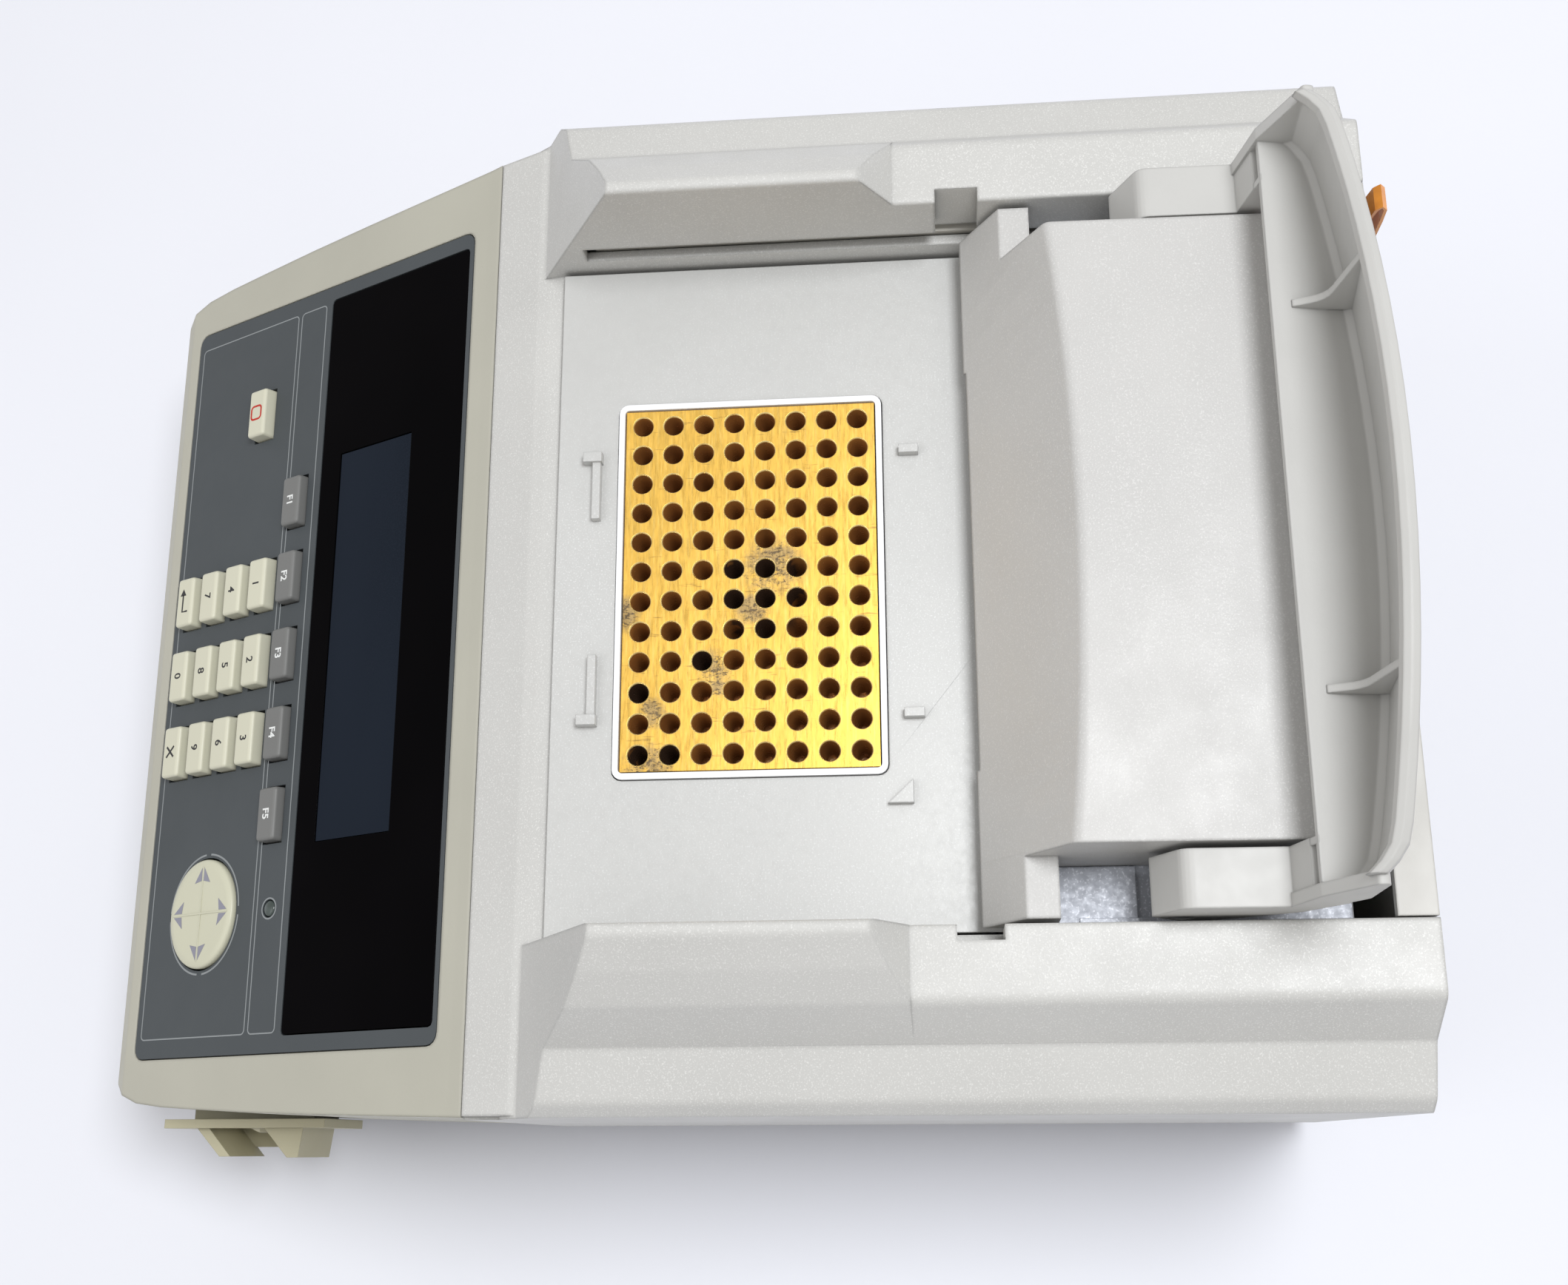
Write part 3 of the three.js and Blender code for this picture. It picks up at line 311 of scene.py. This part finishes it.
def well_wall():
    """Brown conical wells with painted shade darkening them with depth and a painted highlight on each floor,
    some nearly black.
    """
    g = Graph("well_wall", (0.35, 0.15, 0.04), 0.2, 0.35)
    split = g.add("ShaderNodeSeparateXYZ")
    g.link(g.coords, split.inputs[0])
    top = BLOCK_TOP.z
    height = split.outputs["Z"]
    # painted shade: the walls get darker with depth
    depth_shaded_wall = g.blend(g.remap(height, top - 11 * MM, top - 1 * MM), (0.2, 0.08, 0.025), (0.34, 0.15, 0.04))
    # painted highlight: the floor of each well is paler, standing in for light reflected there
    colour = g.blend(g.remap(height, top - 13.7 * MM, top - 12 * MM), (0.7, 0.42, 0.2), depth_shaded_wall)
    colour = g.blend(g.remap(g.noise(60, 3, 0.6), 0.4, 0.65), colour, (0.2, 0.08, 0.025))
    burnt = g.times(near(g, BLACKENED), g.remap(g.noise(110, 3, 0.6), 0.3, 0.55, 0.6, 3))
    g.colour(g.blend(g.remap(burnt, 0.25, 0.5), colour, (0.05, 0.028, 0.018)))
    g.rough(g.remap(g.noise(400, 2), 0.3, 0.7, 0.16, 0.3))
    g.bump(g.noise(600, 2), 0.01, 0.4)
    return g.mat


def well_rim_highlight():
    """The polished chamfer round each well, coloured paler than the plating as a painted highlight."""
    g = Graph("well_rim_highlight", (1.0, 0.78, 0.32), 0.16, 0.7)
    g.colour(g.blend(g.remap(g.noise(260, 3, 0.6), 0.45, 0.7), (1.0, 0.8, 0.36), (0.8, 0.5, 0.13)))
    g.rough(g.remap(g.noise(300, 2), 0.3, 0.7, 0.12, 0.26))
    g.bump(g.noise(900, 2), 0.008, 0.4)
    return g.mat


def window_gloss():
    g = Graph("window_gloss", (0.0022, 0.002, 0.0024), 0.1)
    g.rough(g.remap(g.noise(25, 4), 0.3, 0.7, 0.07, 0.16))
    g.colour(g.blend(g.remap(g.noise(8, 3), 0.4, 0.7), (0.0022, 0.002, 0.0024), (0.0034, 0.003, 0.0036)))
    g.bump(g.noise(120, 2), 0.01, 0.3, 0.3)
    g.shader.inputs["Specular IOR Level"].default_value = 0.014
    return g.mat


def lcd_glass():
    """Unlit display: blue-grey, with a faint darker band across it."""
    g = Graph("lcd_glass", (0.02, 0.032, 0.045), 0.22)
    band = g.noise(16, 2, 0.4, (0.25, 1, 1))
    colour = g.blend(g.remap(band, 0.35, 0.65), (0.0155, 0.0215, 0.034), (0.009, 0.013, 0.021))
    g.colour(g.blend(g.remap(g.noise(2400, 1), 0.5, 0.6), colour, (0.0125, 0.0175, 0.0275)))
    g.rough(g.remap(g.noise(40, 3), 0.3, 0.7, 0.16, 0.28))
    g.bump(g.noise(1800, 1), 0.004, 0.3)
    g.shader.inputs["Specular IOR Level"].default_value = 0.05
    return g.mat


def amber_film():
    g = Graph("amber_film", (0.55, 0.17, 0.015), 0.22)
    bands = g.noise(120, 3, 0.6, (1, 1, 0.2))
    g.colour(g.blend(g.remap(bands, 0.35, 0.65), (0.8, 0.3, 0.03), (0.5, 0.16, 0.015)))
    g.rough(g.remap(g.noise(80, 3), 0.3, 0.7, 0.16, 0.34))
    g.bump(g.noise(300, 2), 0.02, 0.4)
    g.shader.inputs["Coat Weight"].default_value = 0.3
    return g.mat


def lamp_lens():
    g = Graph("lamp_lens", (0.07, 0.09, 0.085), 0.2)
    g.colour(g.blend(g.remap(g.noise(300, 2), 0.35, 0.65), (0.08, 0.1, 0.095), (0.05, 0.065, 0.06)))
    g.rough(g.remap(g.noise(200, 2), 0.3, 0.7, 0.14, 0.26))
    g.bump(g.noise(500, 2), 0.01, 0.4)
    return g.mat


deck_grey = deck_paint()
frame_grey = frame_paint()
gold_plate = gold()
well_brown = well_wall()
rim_highlight_gold = well_rim_highlight()
black_gloss = window_gloss()
lcd_blue = lcd_glass()
amber = amber_film()
lens = lamp_lens()

# ---- CAD nodes that keep their own mesh: material, and radius of the edges in millimetres ----
KEPT = {
    "main_housing": (housing, 1.4), "panel_casing": (casing, 1.6), "rear_panel": (rear_plastic, 0.5),
    "lid_cover": (lid_plastic, 1.1), "lever": (lever_plastic, 0.55), "base_pan": (base_paint, 0.5),
    "deck_plate": (deck_grey, 0.35), "block_gasket": (seal_white, 0.3), "lid_frame": (frame_grey, 0.3),
    "switch_bezel": (switch_cream, 0.5), "switch_rocker": (rocker_cream, 0.5),
    "heated_platen": (platen_metal, 0.3), "platen_heater_pad": (heater_pad, 0.2), "flex_cable": (amber, None),
    "panel_bezel": (overlay, 0.25), "display_window": (black_gloss, 0.25), "lcd_module": (lcd_blue, 0.2),
    "keypad_board": (board_green, None), "pad_gimbal": (dark_plastic, 0.2), "main_board": (board_green, None),
    "thermoelectric_layer": (ceramic, 0.2), "heat_sink": (aluminium, 0.2), "fan_frame": (dark_plastic, 0.4),
    "fan_rotor": (dark_plastic, 0.2), "power_supply": (supply_metal, 0.6), "power_inlet": (dark_plastic, 0.4),
}
for side in ("left", "right"):
    KEPT[f"slide_rail_{side}"] = (runner_paint, 0.2)
    KEPT[f"lever_pin_{side}"] = (steel, 0.3)
for place in ("front_left", "front_right", "rear_left", "rear_right"):
    KEPT[f"foot_{place}"] = (rubber, 0.8)
    KEPT[f"board_standoff_{place}"] = (steel, 0.2)


def soften(obj, width_mm, segments=2, angle=28):
    """Rounded edges: flat faces are merged first, then the sharp edges are bevelled."""
    obj.data.polygons.foreach_set("use_smooth", [True] * len(obj.data.polygons))
    flat = obj.modifiers.new("merge_flat", "DECIMATE")
    flat.decimate_type = "DISSOLVE"
    flat.angle_limit = math.radians(0.4)
    bevel = obj.modifiers.new("round_edges", "BEVEL")
    bevel.width = width_mm * MM
    bevel.segments = segments
    bevel.limit_method = "ANGLE"
    bevel.angle_limit = math.radians(angle)
    bevel.use_clamp_overlap = True
    bevel.miter_outer = "MITER_ARC"
    normals = obj.modifiers.new("even_normals", "WEIGHTED_NORMAL")
    normals.keep_sharp = True


for node, (mat, width) in KEPT.items():
    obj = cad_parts[node]
    obj.data.materials.clear()
    obj.data.materials.append(mat)
    if width:
        soften(obj, width)


# ---- new pieces ----
def make(name, place, verts, faces, mat, body, smooth=True):
    """A mesh from millimetre coordinates in the frame that place describes."""
    mesh = bpy.data.meshes.new(name)
    mesh.from_pydata([tuple(place @ (Vector(v) * MM)) for v in verts], [], faces)
    mesh.validate()
    mesh.polygons.foreach_set("use_smooth", [smooth] * len(mesh.polygons))
    mesh.materials.append(mat)
    mesh.update()
    obj = bpy.data.objects.new(name, mesh)
    bpy.context.scene.collection.objects.link(obj)
    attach(obj, body)
    return obj


def rounded_box(name, place, lo, hi, radius, mat, body, taper=0.0, segments=3):
    """A box with rounded edges, narrower at the top by taper on each side."""
    bm = bmesh.new()
    bmesh.ops.create_cube(bm, size=1)
    for v in bm.verts:
        top = v.co.z > 0
        for axis in range(3):
            v.co[axis] = hi[axis] if v.co[axis] > 0 else lo[axis]
        if top:
            v.co.x += -taper if v.co.x > (lo[0] + hi[0]) / 2 else taper
            v.co.y += -taper if v.co.y > (lo[1] + hi[1]) / 2 else taper
    bmesh.ops.bevel(bm, geom=list(bm.edges), offset=radius, segments=segments, profile=0.5, affect="EDGES")
    bmesh.ops.recalc_face_normals(bm, faces=bm.faces)
    bm.verts.index_update()
    verts = [v.co.copy() for v in bm.verts]
    faces = [[v.index for v in f.verts] for f in bm.faces]
    bm.free()
    obj = make(name, place, verts, faces, mat, body)
    normals = obj.modifiers.new("even_normals", "WEIGHTED_NORMAL")
    normals.weight = 80
    return obj


def lathe(name, place, centre, profile, mat, body, steps=64):
    """profile is [(radius, height)] from the axis round and back to the axis."""
    verts = []
    faces = []
    rings = []
    for r, h in profile:
        if r < 1e-6:
            rings.append([len(verts)])
            verts.append((centre[0], centre[1], h))
            continue
        rings.append(list(range(len(verts), len(verts) + steps)))
        for i in range(steps):
            a = 2 * math.pi * i / steps
            verts.append((centre[0] + r * math.cos(a), centre[1] + r * math.sin(a), h))
    for low, high in zip(rings, rings[1:]):
        for i in range(steps):
            j = (i + 1) % steps
            if len(low) == 1:
                faces.append((low[0], high[j], high[i]))
            elif len(high) == 1:
                faces.append((low[i], low[j], high[0]))
            else:
                faces.append((low[i], low[j], high[j], high[i]))
    return make(name, place, verts, faces, mat, body)


def strip(name, place, points, width, height, thick, mat, body, closed=False):
    """A thin printed line along flat points, standing thick millimetres out of height."""
    n = len(points)
    verts = []
    for i, (x, y) in enumerate(points):
        before = points[i - 1] if (i or closed) else points[i]
        after = points[(i + 1) % n] if (i < n - 1 or closed) else points[i]
        dx, dy = after[0] - before[0], after[1] - before[1]
        length = math.hypot(dx, dy)
        nx, ny = -dy / length * width / 2, dx / length * width / 2
        for h in (height, height + thick):
            verts += [(x + nx, y + ny, h), (x - nx, y - ny, h)]
    faces = []
    for i in range(n if closed else n - 1):
        a, b = 4 * i, 4 * ((i + 1) % n)
        faces += [(a + 2, a + 3, b + 3, b + 2), (a, b, b + 1, a + 1)]
        faces += [(a, a + 2, b + 2, b), (a + 1, b + 1, b + 3, a + 3)]
    if not closed:
        last = 4 * (n - 1)
        faces += [(0, 1, 3, 2), (last, last + 2, last + 3, last + 1)]
    return make(name, place, verts, faces, mat, body, smooth=False)


def circle_path(centre, r, steps):
    turn = 2 * math.pi / steps
    return [(centre[0] + r * math.cos(i * turn), centre[1] + r * math.sin(i * turn)) for i in range(steps)]


def rounded_path(x0, x1, y0, y1, r, steps=6):
    points = []
    corners = ((x1 - r, y1 - r), (x0 + r, y1 - r), (x0 + r, y0 + r), (x1 - r, y0 + r))
    for quarter, (cx, cy) in enumerate(corners):
        for i in range(steps + 1):
            a = (quarter + i / steps) * math.pi / 2
            points.append((cx + r * math.cos(a), cy + r * math.sin(a)))
    return points


def flat_shape(name, place, outline, height, thick, mat, body):
    """A thin printed patch with the given outline."""
    n = len(outline)
    verts = [(x, y, height) for x, y in outline] + [(x, y, height + thick) for x, y in outline]
    faces = [tuple(range(n))[::-1], tuple(range(n, 2 * n))]
    faces += [(i, (i + 1) % n, n + (i + 1) % n, n + i) for i in range(n)]
    return make(name, place, verts, faces, mat, body, smooth=False)


def label(text, centre, size, height, mat, body):
    """A printed character on a key."""
    curve = bpy.data.curves.new("print_" + text, "FONT")
    curve.body = text
    curve.size = size * MM
    curve.extrude = 0.03 * MM
    curve.offset = 0.02 * size * MM
    curve.align_x = "CENTER"
    curve.align_y = "CENTER"
    curve.materials.append(mat)
    obj = bpy.data.objects.new("print_" + text, curve)
    bpy.context.scene.collection.objects.link(obj)
    obj.matrix_world = PANEL @ Matrix.Translation(Vector((centre[0], centre[1], height)) * MM)
    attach(obj, body)


# sample block with round wells, whose rings are radius and height, from the rim down to the floor
PITCH, COLUMNS, ROWS = 9.0, 12, 8
WELL = ((3.15, BLOCK_PROUD), (2.82, -0.3), (1.32, -13.4), (0.9, -14.0))
SIDES = 32
BLOCK_BORDER = (0.2, 0.5)
BLOCK_EDGE = 0.3
BLOCK_BOTTOM = -20.0
# the block's materials, in the order of its slots
PLATED, BROWN, RIM_HIGHLIGHT = range(3)


def sample_block():
    bm = bmesh.new()
    half = (COLUMNS * PITCH / 2, ROWS * PITCH / 2)
    outer = (half[0] + BLOCK_BORDER[0], half[1] + BLOCK_BORDER[1])
    top = BLOCK_PROUD
    cache = {}

    def vert(x, y, z):
        key = (round(x, 4), round(y, 4), round(z, 4))
        if key not in cache:
            cache[key] = bm.verts.new((x, y, z))
        return cache[key]

    def square(angle):
        c, s = math.cos(angle), math.sin(angle)
        k = PITCH / 2 / max(abs(c), abs(s))
        return c * k, s * k

    for column in range(COLUMNS):
        for row in range(ROWS):
            cx = (column - (COLUMNS - 1) / 2) * PITCH
            cy = (row - (ROWS - 1) / 2) * PITCH
            angles = [2 * math.pi * (i + 0.5) / SIDES + math.pi / 4 - math.pi / SIDES for i in range(SIDES)]
            edge = [vert(cx + square(a)[0], cy + square(a)[1], top) for a in angles]
            rings = [[vert(cx + r * math.cos(a), cy + r * math.sin(a), z) for a in angles] for r, z in WELL]
            bands = [edge] + rings
            # the chamfer band takes the painted highlight material
            for low, high, paint in zip(bands, rings, (PLATED, RIM_HIGHLIGHT, BROWN, BROWN)):
                for i in range(SIDES):
                    j = (i + 1) % SIDES
                    face = bm.faces.new((low[i], low[j], high[j], high[i]))
                    face.material_index = paint
                    face.smooth = paint != PLATED
            well_floor = bm.faces.new(rings[-1])
            well_floor.material_index = BROWN
    # the border round the cells, and the sides and underside
    rim = [e for e in bm.edges if len(e.link_faces) == 1 and all(abs(v.co.z - top) < 1e-4 for v in e.verts)]
    grown = bmesh.ops.extrude_edge_only(bm, edges=rim)
    for v in (g for g in grown["geom"] if isinstance(g, bmesh.types.BMVert)):
        v.co.x *= outer[0] / half[0]
        v.co.y *= outer[1] / half[1]
    for level in (top - BLOCK_EDGE, BLOCK_BOTTOM):
        rim = [e for e in bm.edges if len(e.link_faces) == 1]
        grown = bmesh.ops.extrude_edge_only(bm, edges=rim)
        for v in (g for g in grown["geom"] if isinstance(g, bmesh.types.BMVert)):
            v.co.z = level
    rim = [e for e in bm.edges if len(e.link_faces) == 1]
    bmesh.ops.contextual_create(bm, geom=rim)
    bmesh.ops.recalc_face_normals(bm, faces=bm.faces)
    mesh = bpy.data.meshes.new("block_with_wells")
    bm.to_mesh(mesh)
    bm.free()
    mesh.transform(BLOCK @ Matrix.Scale(MM, 4))
    mesh.materials.append(gold_plate)
    mesh.materials.append(well_brown)
    mesh.materials.append(rim_highlight_gold)
    obj = bpy.data.objects.new("block_with_wells", mesh)
    bpy.context.scene.collection.objects.link(obj)
    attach(obj, "machine")
    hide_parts("sample_block")


sample_block()

# keys
KEY_W, KEY_L, KEY_TOP, KEY_BOTTOM = 17.8, 8.9, 4.2, -4.6
KEY_ROUND, KEY_TAPER = 1.15, 0.4
DIGIT_SIZE, FUNCTION_SIZE = 4.2, 3.9
FKEY_W, FKEY_TOP, FKEY_S, FKEY_PITCH, FKEY_MIDDLE_X = 17.6, 3.2, 54.7, 26.2, 1.1
STOP_AT = (-86.9, 35.2)
COLUMNS_X = (-24.6, 1.5, 27.6)
ROWS_S = (42, 29.8, 17.6, 5.4)
NAMES = (("1", "2", "3"), ("4", "5", "6"), ("7", "8", "9"), ("enter", "0", "clear"))
keys = [("stop", STOP_AT, KEY_W, KEY_TOP, ivory_key, "key_stop")]
for row, s in zip(NAMES, ROWS_S):
    keys += [(name, (x, s), KEY_W, KEY_TOP, ivory_key, "key_ivory") for name, x in zip(row, COLUMNS_X)]
for i in range(5):
    x = FKEY_MIDDLE_X + (i - 2) * FKEY_PITCH
    keys.append((f"f{i + 1}", (x, FKEY_S), FKEY_W, FKEY_TOP, grey_key, "key_grey"))
SYMBOL_WIDTH, SYMBOL_THICK = 0.7, 0.05
for name, (x, s), width, top, mat, finish_slot in keys:
    node = "key_" + name
    cap = rounded_box("cap_" + name, PANEL, (x - width / 2, s - KEY_L / 2, KEY_BOTTOM),
                      (x + width / 2, s + KEY_L / 2, top), KEY_ROUND, mat, node, KEY_TAPER, 4)
    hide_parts(node)
    print_height = top - 0.01
    if name.isdigit():
        label(name, (x, s), DIGIT_SIZE, print_height, print_black, node)
    elif name.startswith("f"):
        label(name.upper(), (x, s), FUNCTION_SIZE, print_height, print_pale, node)
    elif name == "stop":
        strip("print_stop", PANEL, rounded_path(x - 2.4, x + 2.4, s - 2.4, s + 2.4, 1.2), SYMBOL_WIDTH,
              print_height, SYMBOL_THICK, print_red, node, closed=True)
    elif name == "enter":
        strip("print_enter_stem", PANEL, [(x + 3.5, s + 2), (x + 3.5, s - 0.6), (x - 2.6, s - 0.6)],
              SYMBOL_WIDTH, print_height, SYMBOL_THICK, print_black, node)
        flat_shape("print_enter_tip", PANEL, [(x - 4.6, s - 0.6), (x - 2.2, s - 2.1), (x - 2.2, s + 0.9)],
                   print_height, SYMBOL_THICK, print_black, node)
    else:
        for k, (dx, dy) in enumerate(((1.8, 1.8), (1.8, -1.8))):
            strip(f"print_clear_{k}", PANEL, [(x - dx, s - dy), (x + dx, s + dy)], SYMBOL_WIDTH,
                  print_height + 0.01 * k, SYMBOL_THICK, print_black, node)

# arrow pad with its cross and four arrows
PAD = (82.4, 24.8)
PAD_R = 17.4
PAD_OVAL = 0.87
PAD_FACE = 1.62
PAD_RING_R = 19.1
# printed lines on the overlay reach from just under its surface to just above it
LINE_LOW = -0.01
# the pad is shorter up the slope
to_pad = Matrix.Translation(Vector((0, PAD[1] * MM, 0)))
PAD_PLACE = PANEL @ to_pad @ Matrix.Diagonal((1, PAD_OVAL, 1, 1)) @ to_pad.inverted()
pad_profile = [(0, -3.4), (PAD_R, -3.4), (PAD_R, 0.6), (PAD_R - 0.25, 1.2), (PAD_R - 0.8, 1.6),
               (PAD_R - 3, PAD_FACE), (0, 1.5)]
pad = lathe("pad_disc", PAD_PLACE, PAD, pad_profile, pad_ivory, "pad", 72)
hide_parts("arrow_pad")
for k, (dx, dy) in enumerate(((1, 0), (0, 1))):
    reach = PAD_R - 2.2
    ends = [(PAD[0] + sign * dx * reach, PAD[1] + sign * dy * reach) for sign in (-1, 1)]
    strip(f"pad_ridge_{k}", PAD_PLACE, ends, 0.55, PAD_FACE - 0.1, 0.2 + 0.02 * k, pad_ivory, "pad")
for k in range(4):
    a = k * math.pi / 2
    cos_a, sin_a = math.cos(a), math.sin(a)
    for m, side in enumerate((-1, 1)):
        shard = [(PAD_R - 2.6, 0.55 * side), (PAD_R - 7.6, 4.3 * side), (PAD_R - 6.9, 0.55 * side)]
        if side > 0:
            shard.reverse()
        turned = [(PAD[0] + u * cos_a - v * sin_a, PAD[1] + u * sin_a + v * cos_a) for u, v in shard]
        flat_shape(f"pad_arrow_{k}_{m}", PAD_PLACE, turned, PAD_FACE, SYMBOL_THICK, print_grey, "pad")
    arc = [a + math.radians(4 + 82 * i / 20) for i in range(21)]
    ring = [(PAD[0] + PAD_RING_R * math.cos(t), PAD[1] + PAD_RING_R * math.sin(t)) for t in arc]
    strip(f"pad_ring_{k}", PAD_PLACE, ring, 0.6, LINE_LOW, 0.04, print_line, "machine")

# power lamp and printed lines on the overlay
LAMP = (83, 56)
LAMP_R = 2.4
lamp_profile = [(0, -4), (LAMP_R, -4), (LAMP_R, -0.1), (LAMP_R - 0.6, 0.2), (0, 0.3)]
lamp = lathe("lamp_lens_dome", PANEL, LAMP, lamp_profile, lens, "machine", 40)
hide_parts("power_led")
strip("lamp_ring", PANEL, circle_path(LAMP, LAMP_R + 0.8, 36), 0.45, LINE_LOW, 0.04, print_line, "machine",
      closed=True)
OUTLINE_X = 121
for name, low, high in (("outline_keys", -1.6, 48.6), ("outline_functions", 50.4, 62.6)):
    strip(name, PANEL, rounded_path(-OUTLINE_X, OUTLINE_X, low, high, 1.5), 0.4, LINE_LOW, 0.035, print_line,
          "machine", closed=True)

# ---- floor and lights ----
SURFACE = (0.84, 0.855, 0.92)
FLOOR_REACH = 3


def stage_material(name, base):
    g = Graph(name, base, 0.7)
    g.colour(g.blend(g.remap(g.noise(2.5, 3), 0.3, 0.7), base, shade(base, 0.97)))
    g.bump(g.noise(180, 3), 0.1, 0.4)
    return g.mat


def plane(name, corners, mat):
    mesh = bpy.data.meshes.new(name)
    mesh.from_pydata(corners, [], [(0, 1, 2, 3)])
    mesh.materials.append(mat)
    obj = bpy.data.objects.new(name, mesh)
    bpy.context.scene.collection.objects.link(obj)
    return obj


floor_corners = [(x * FLOOR_REACH, y * FLOOR_REACH, TABLE) for x, y in ((-1, -1), (1, -1), (1, 1), (-1, 1))]
floor = plane("floor", floor_corners, stage_material("floor_white", SURFACE))

world = bpy.data.worlds.new("studio")
bpy.context.scene.world = world
world.use_nodes = True
world.node_tree.nodes["Background"].inputs["Color"].default_value = (1.0, 0.98, 0.955, 1)
world.node_tree.nodes["Background"].inputs["Strength"].default_value = 0.53


def area_light(name, at, target, size, power, colour):
    data = bpy.data.lights.new(name, "AREA")
    data.shape = "DISK"
    data.size = size
    data.energy = power
    data.color = colour
    obj = bpy.data.objects.new(name, data)
    bpy.context.scene.collection.objects.link(obj)
    obj.location = at
    obj.rotation_euler = (Vector(target) - Vector(at)).to_track_quat("-Z", "Y").to_euler()
    return obj


lights = [
    area_light("key_light", (-0.1, 0.45, 1.6), (0, 0, 0.1), 0.6, 15.5, (0.965, 0.98, 1.0)),
    area_light("fill_light", (0.3, -1.2, 1.4), (0, 0, 0.1), 1.4, 5.5, (0.98, 0.985, 1.0)),
]

# ---- camera: its axes, and its place in millimetres from the block frame ----
camera_data = bpy.data.cameras.new("camera")
camera_data.sensor_width = 36.0
camera_data.lens = 40.79
camera_data.clip_start = 0.01
camera = bpy.data.objects.new("camera", camera_data)
bpy.context.scene.collection.objects.link(camera)
right = Vector((0.004, 0.9956, -0.0931))
down = Vector((0.9613, -0.0295, -0.2738))
forward = Vector((-0.2753, -0.0884, -0.9573))
eye = BLOCK_TOP + Vector((156.1, 54.2, 480.7)) * MM
camera.matrix_world = Matrix((
    (right.x, -down.x, -forward.x, eye.x),
    (right.y, -down.y, -forward.y, eye.y),
    (right.z, -down.z, -forward.z, eye.z),
    (0, 0, 0, 1)))
bpy.context.scene.camera = camera
bpy.context.scene.view_settings.view_transform = "Standard"
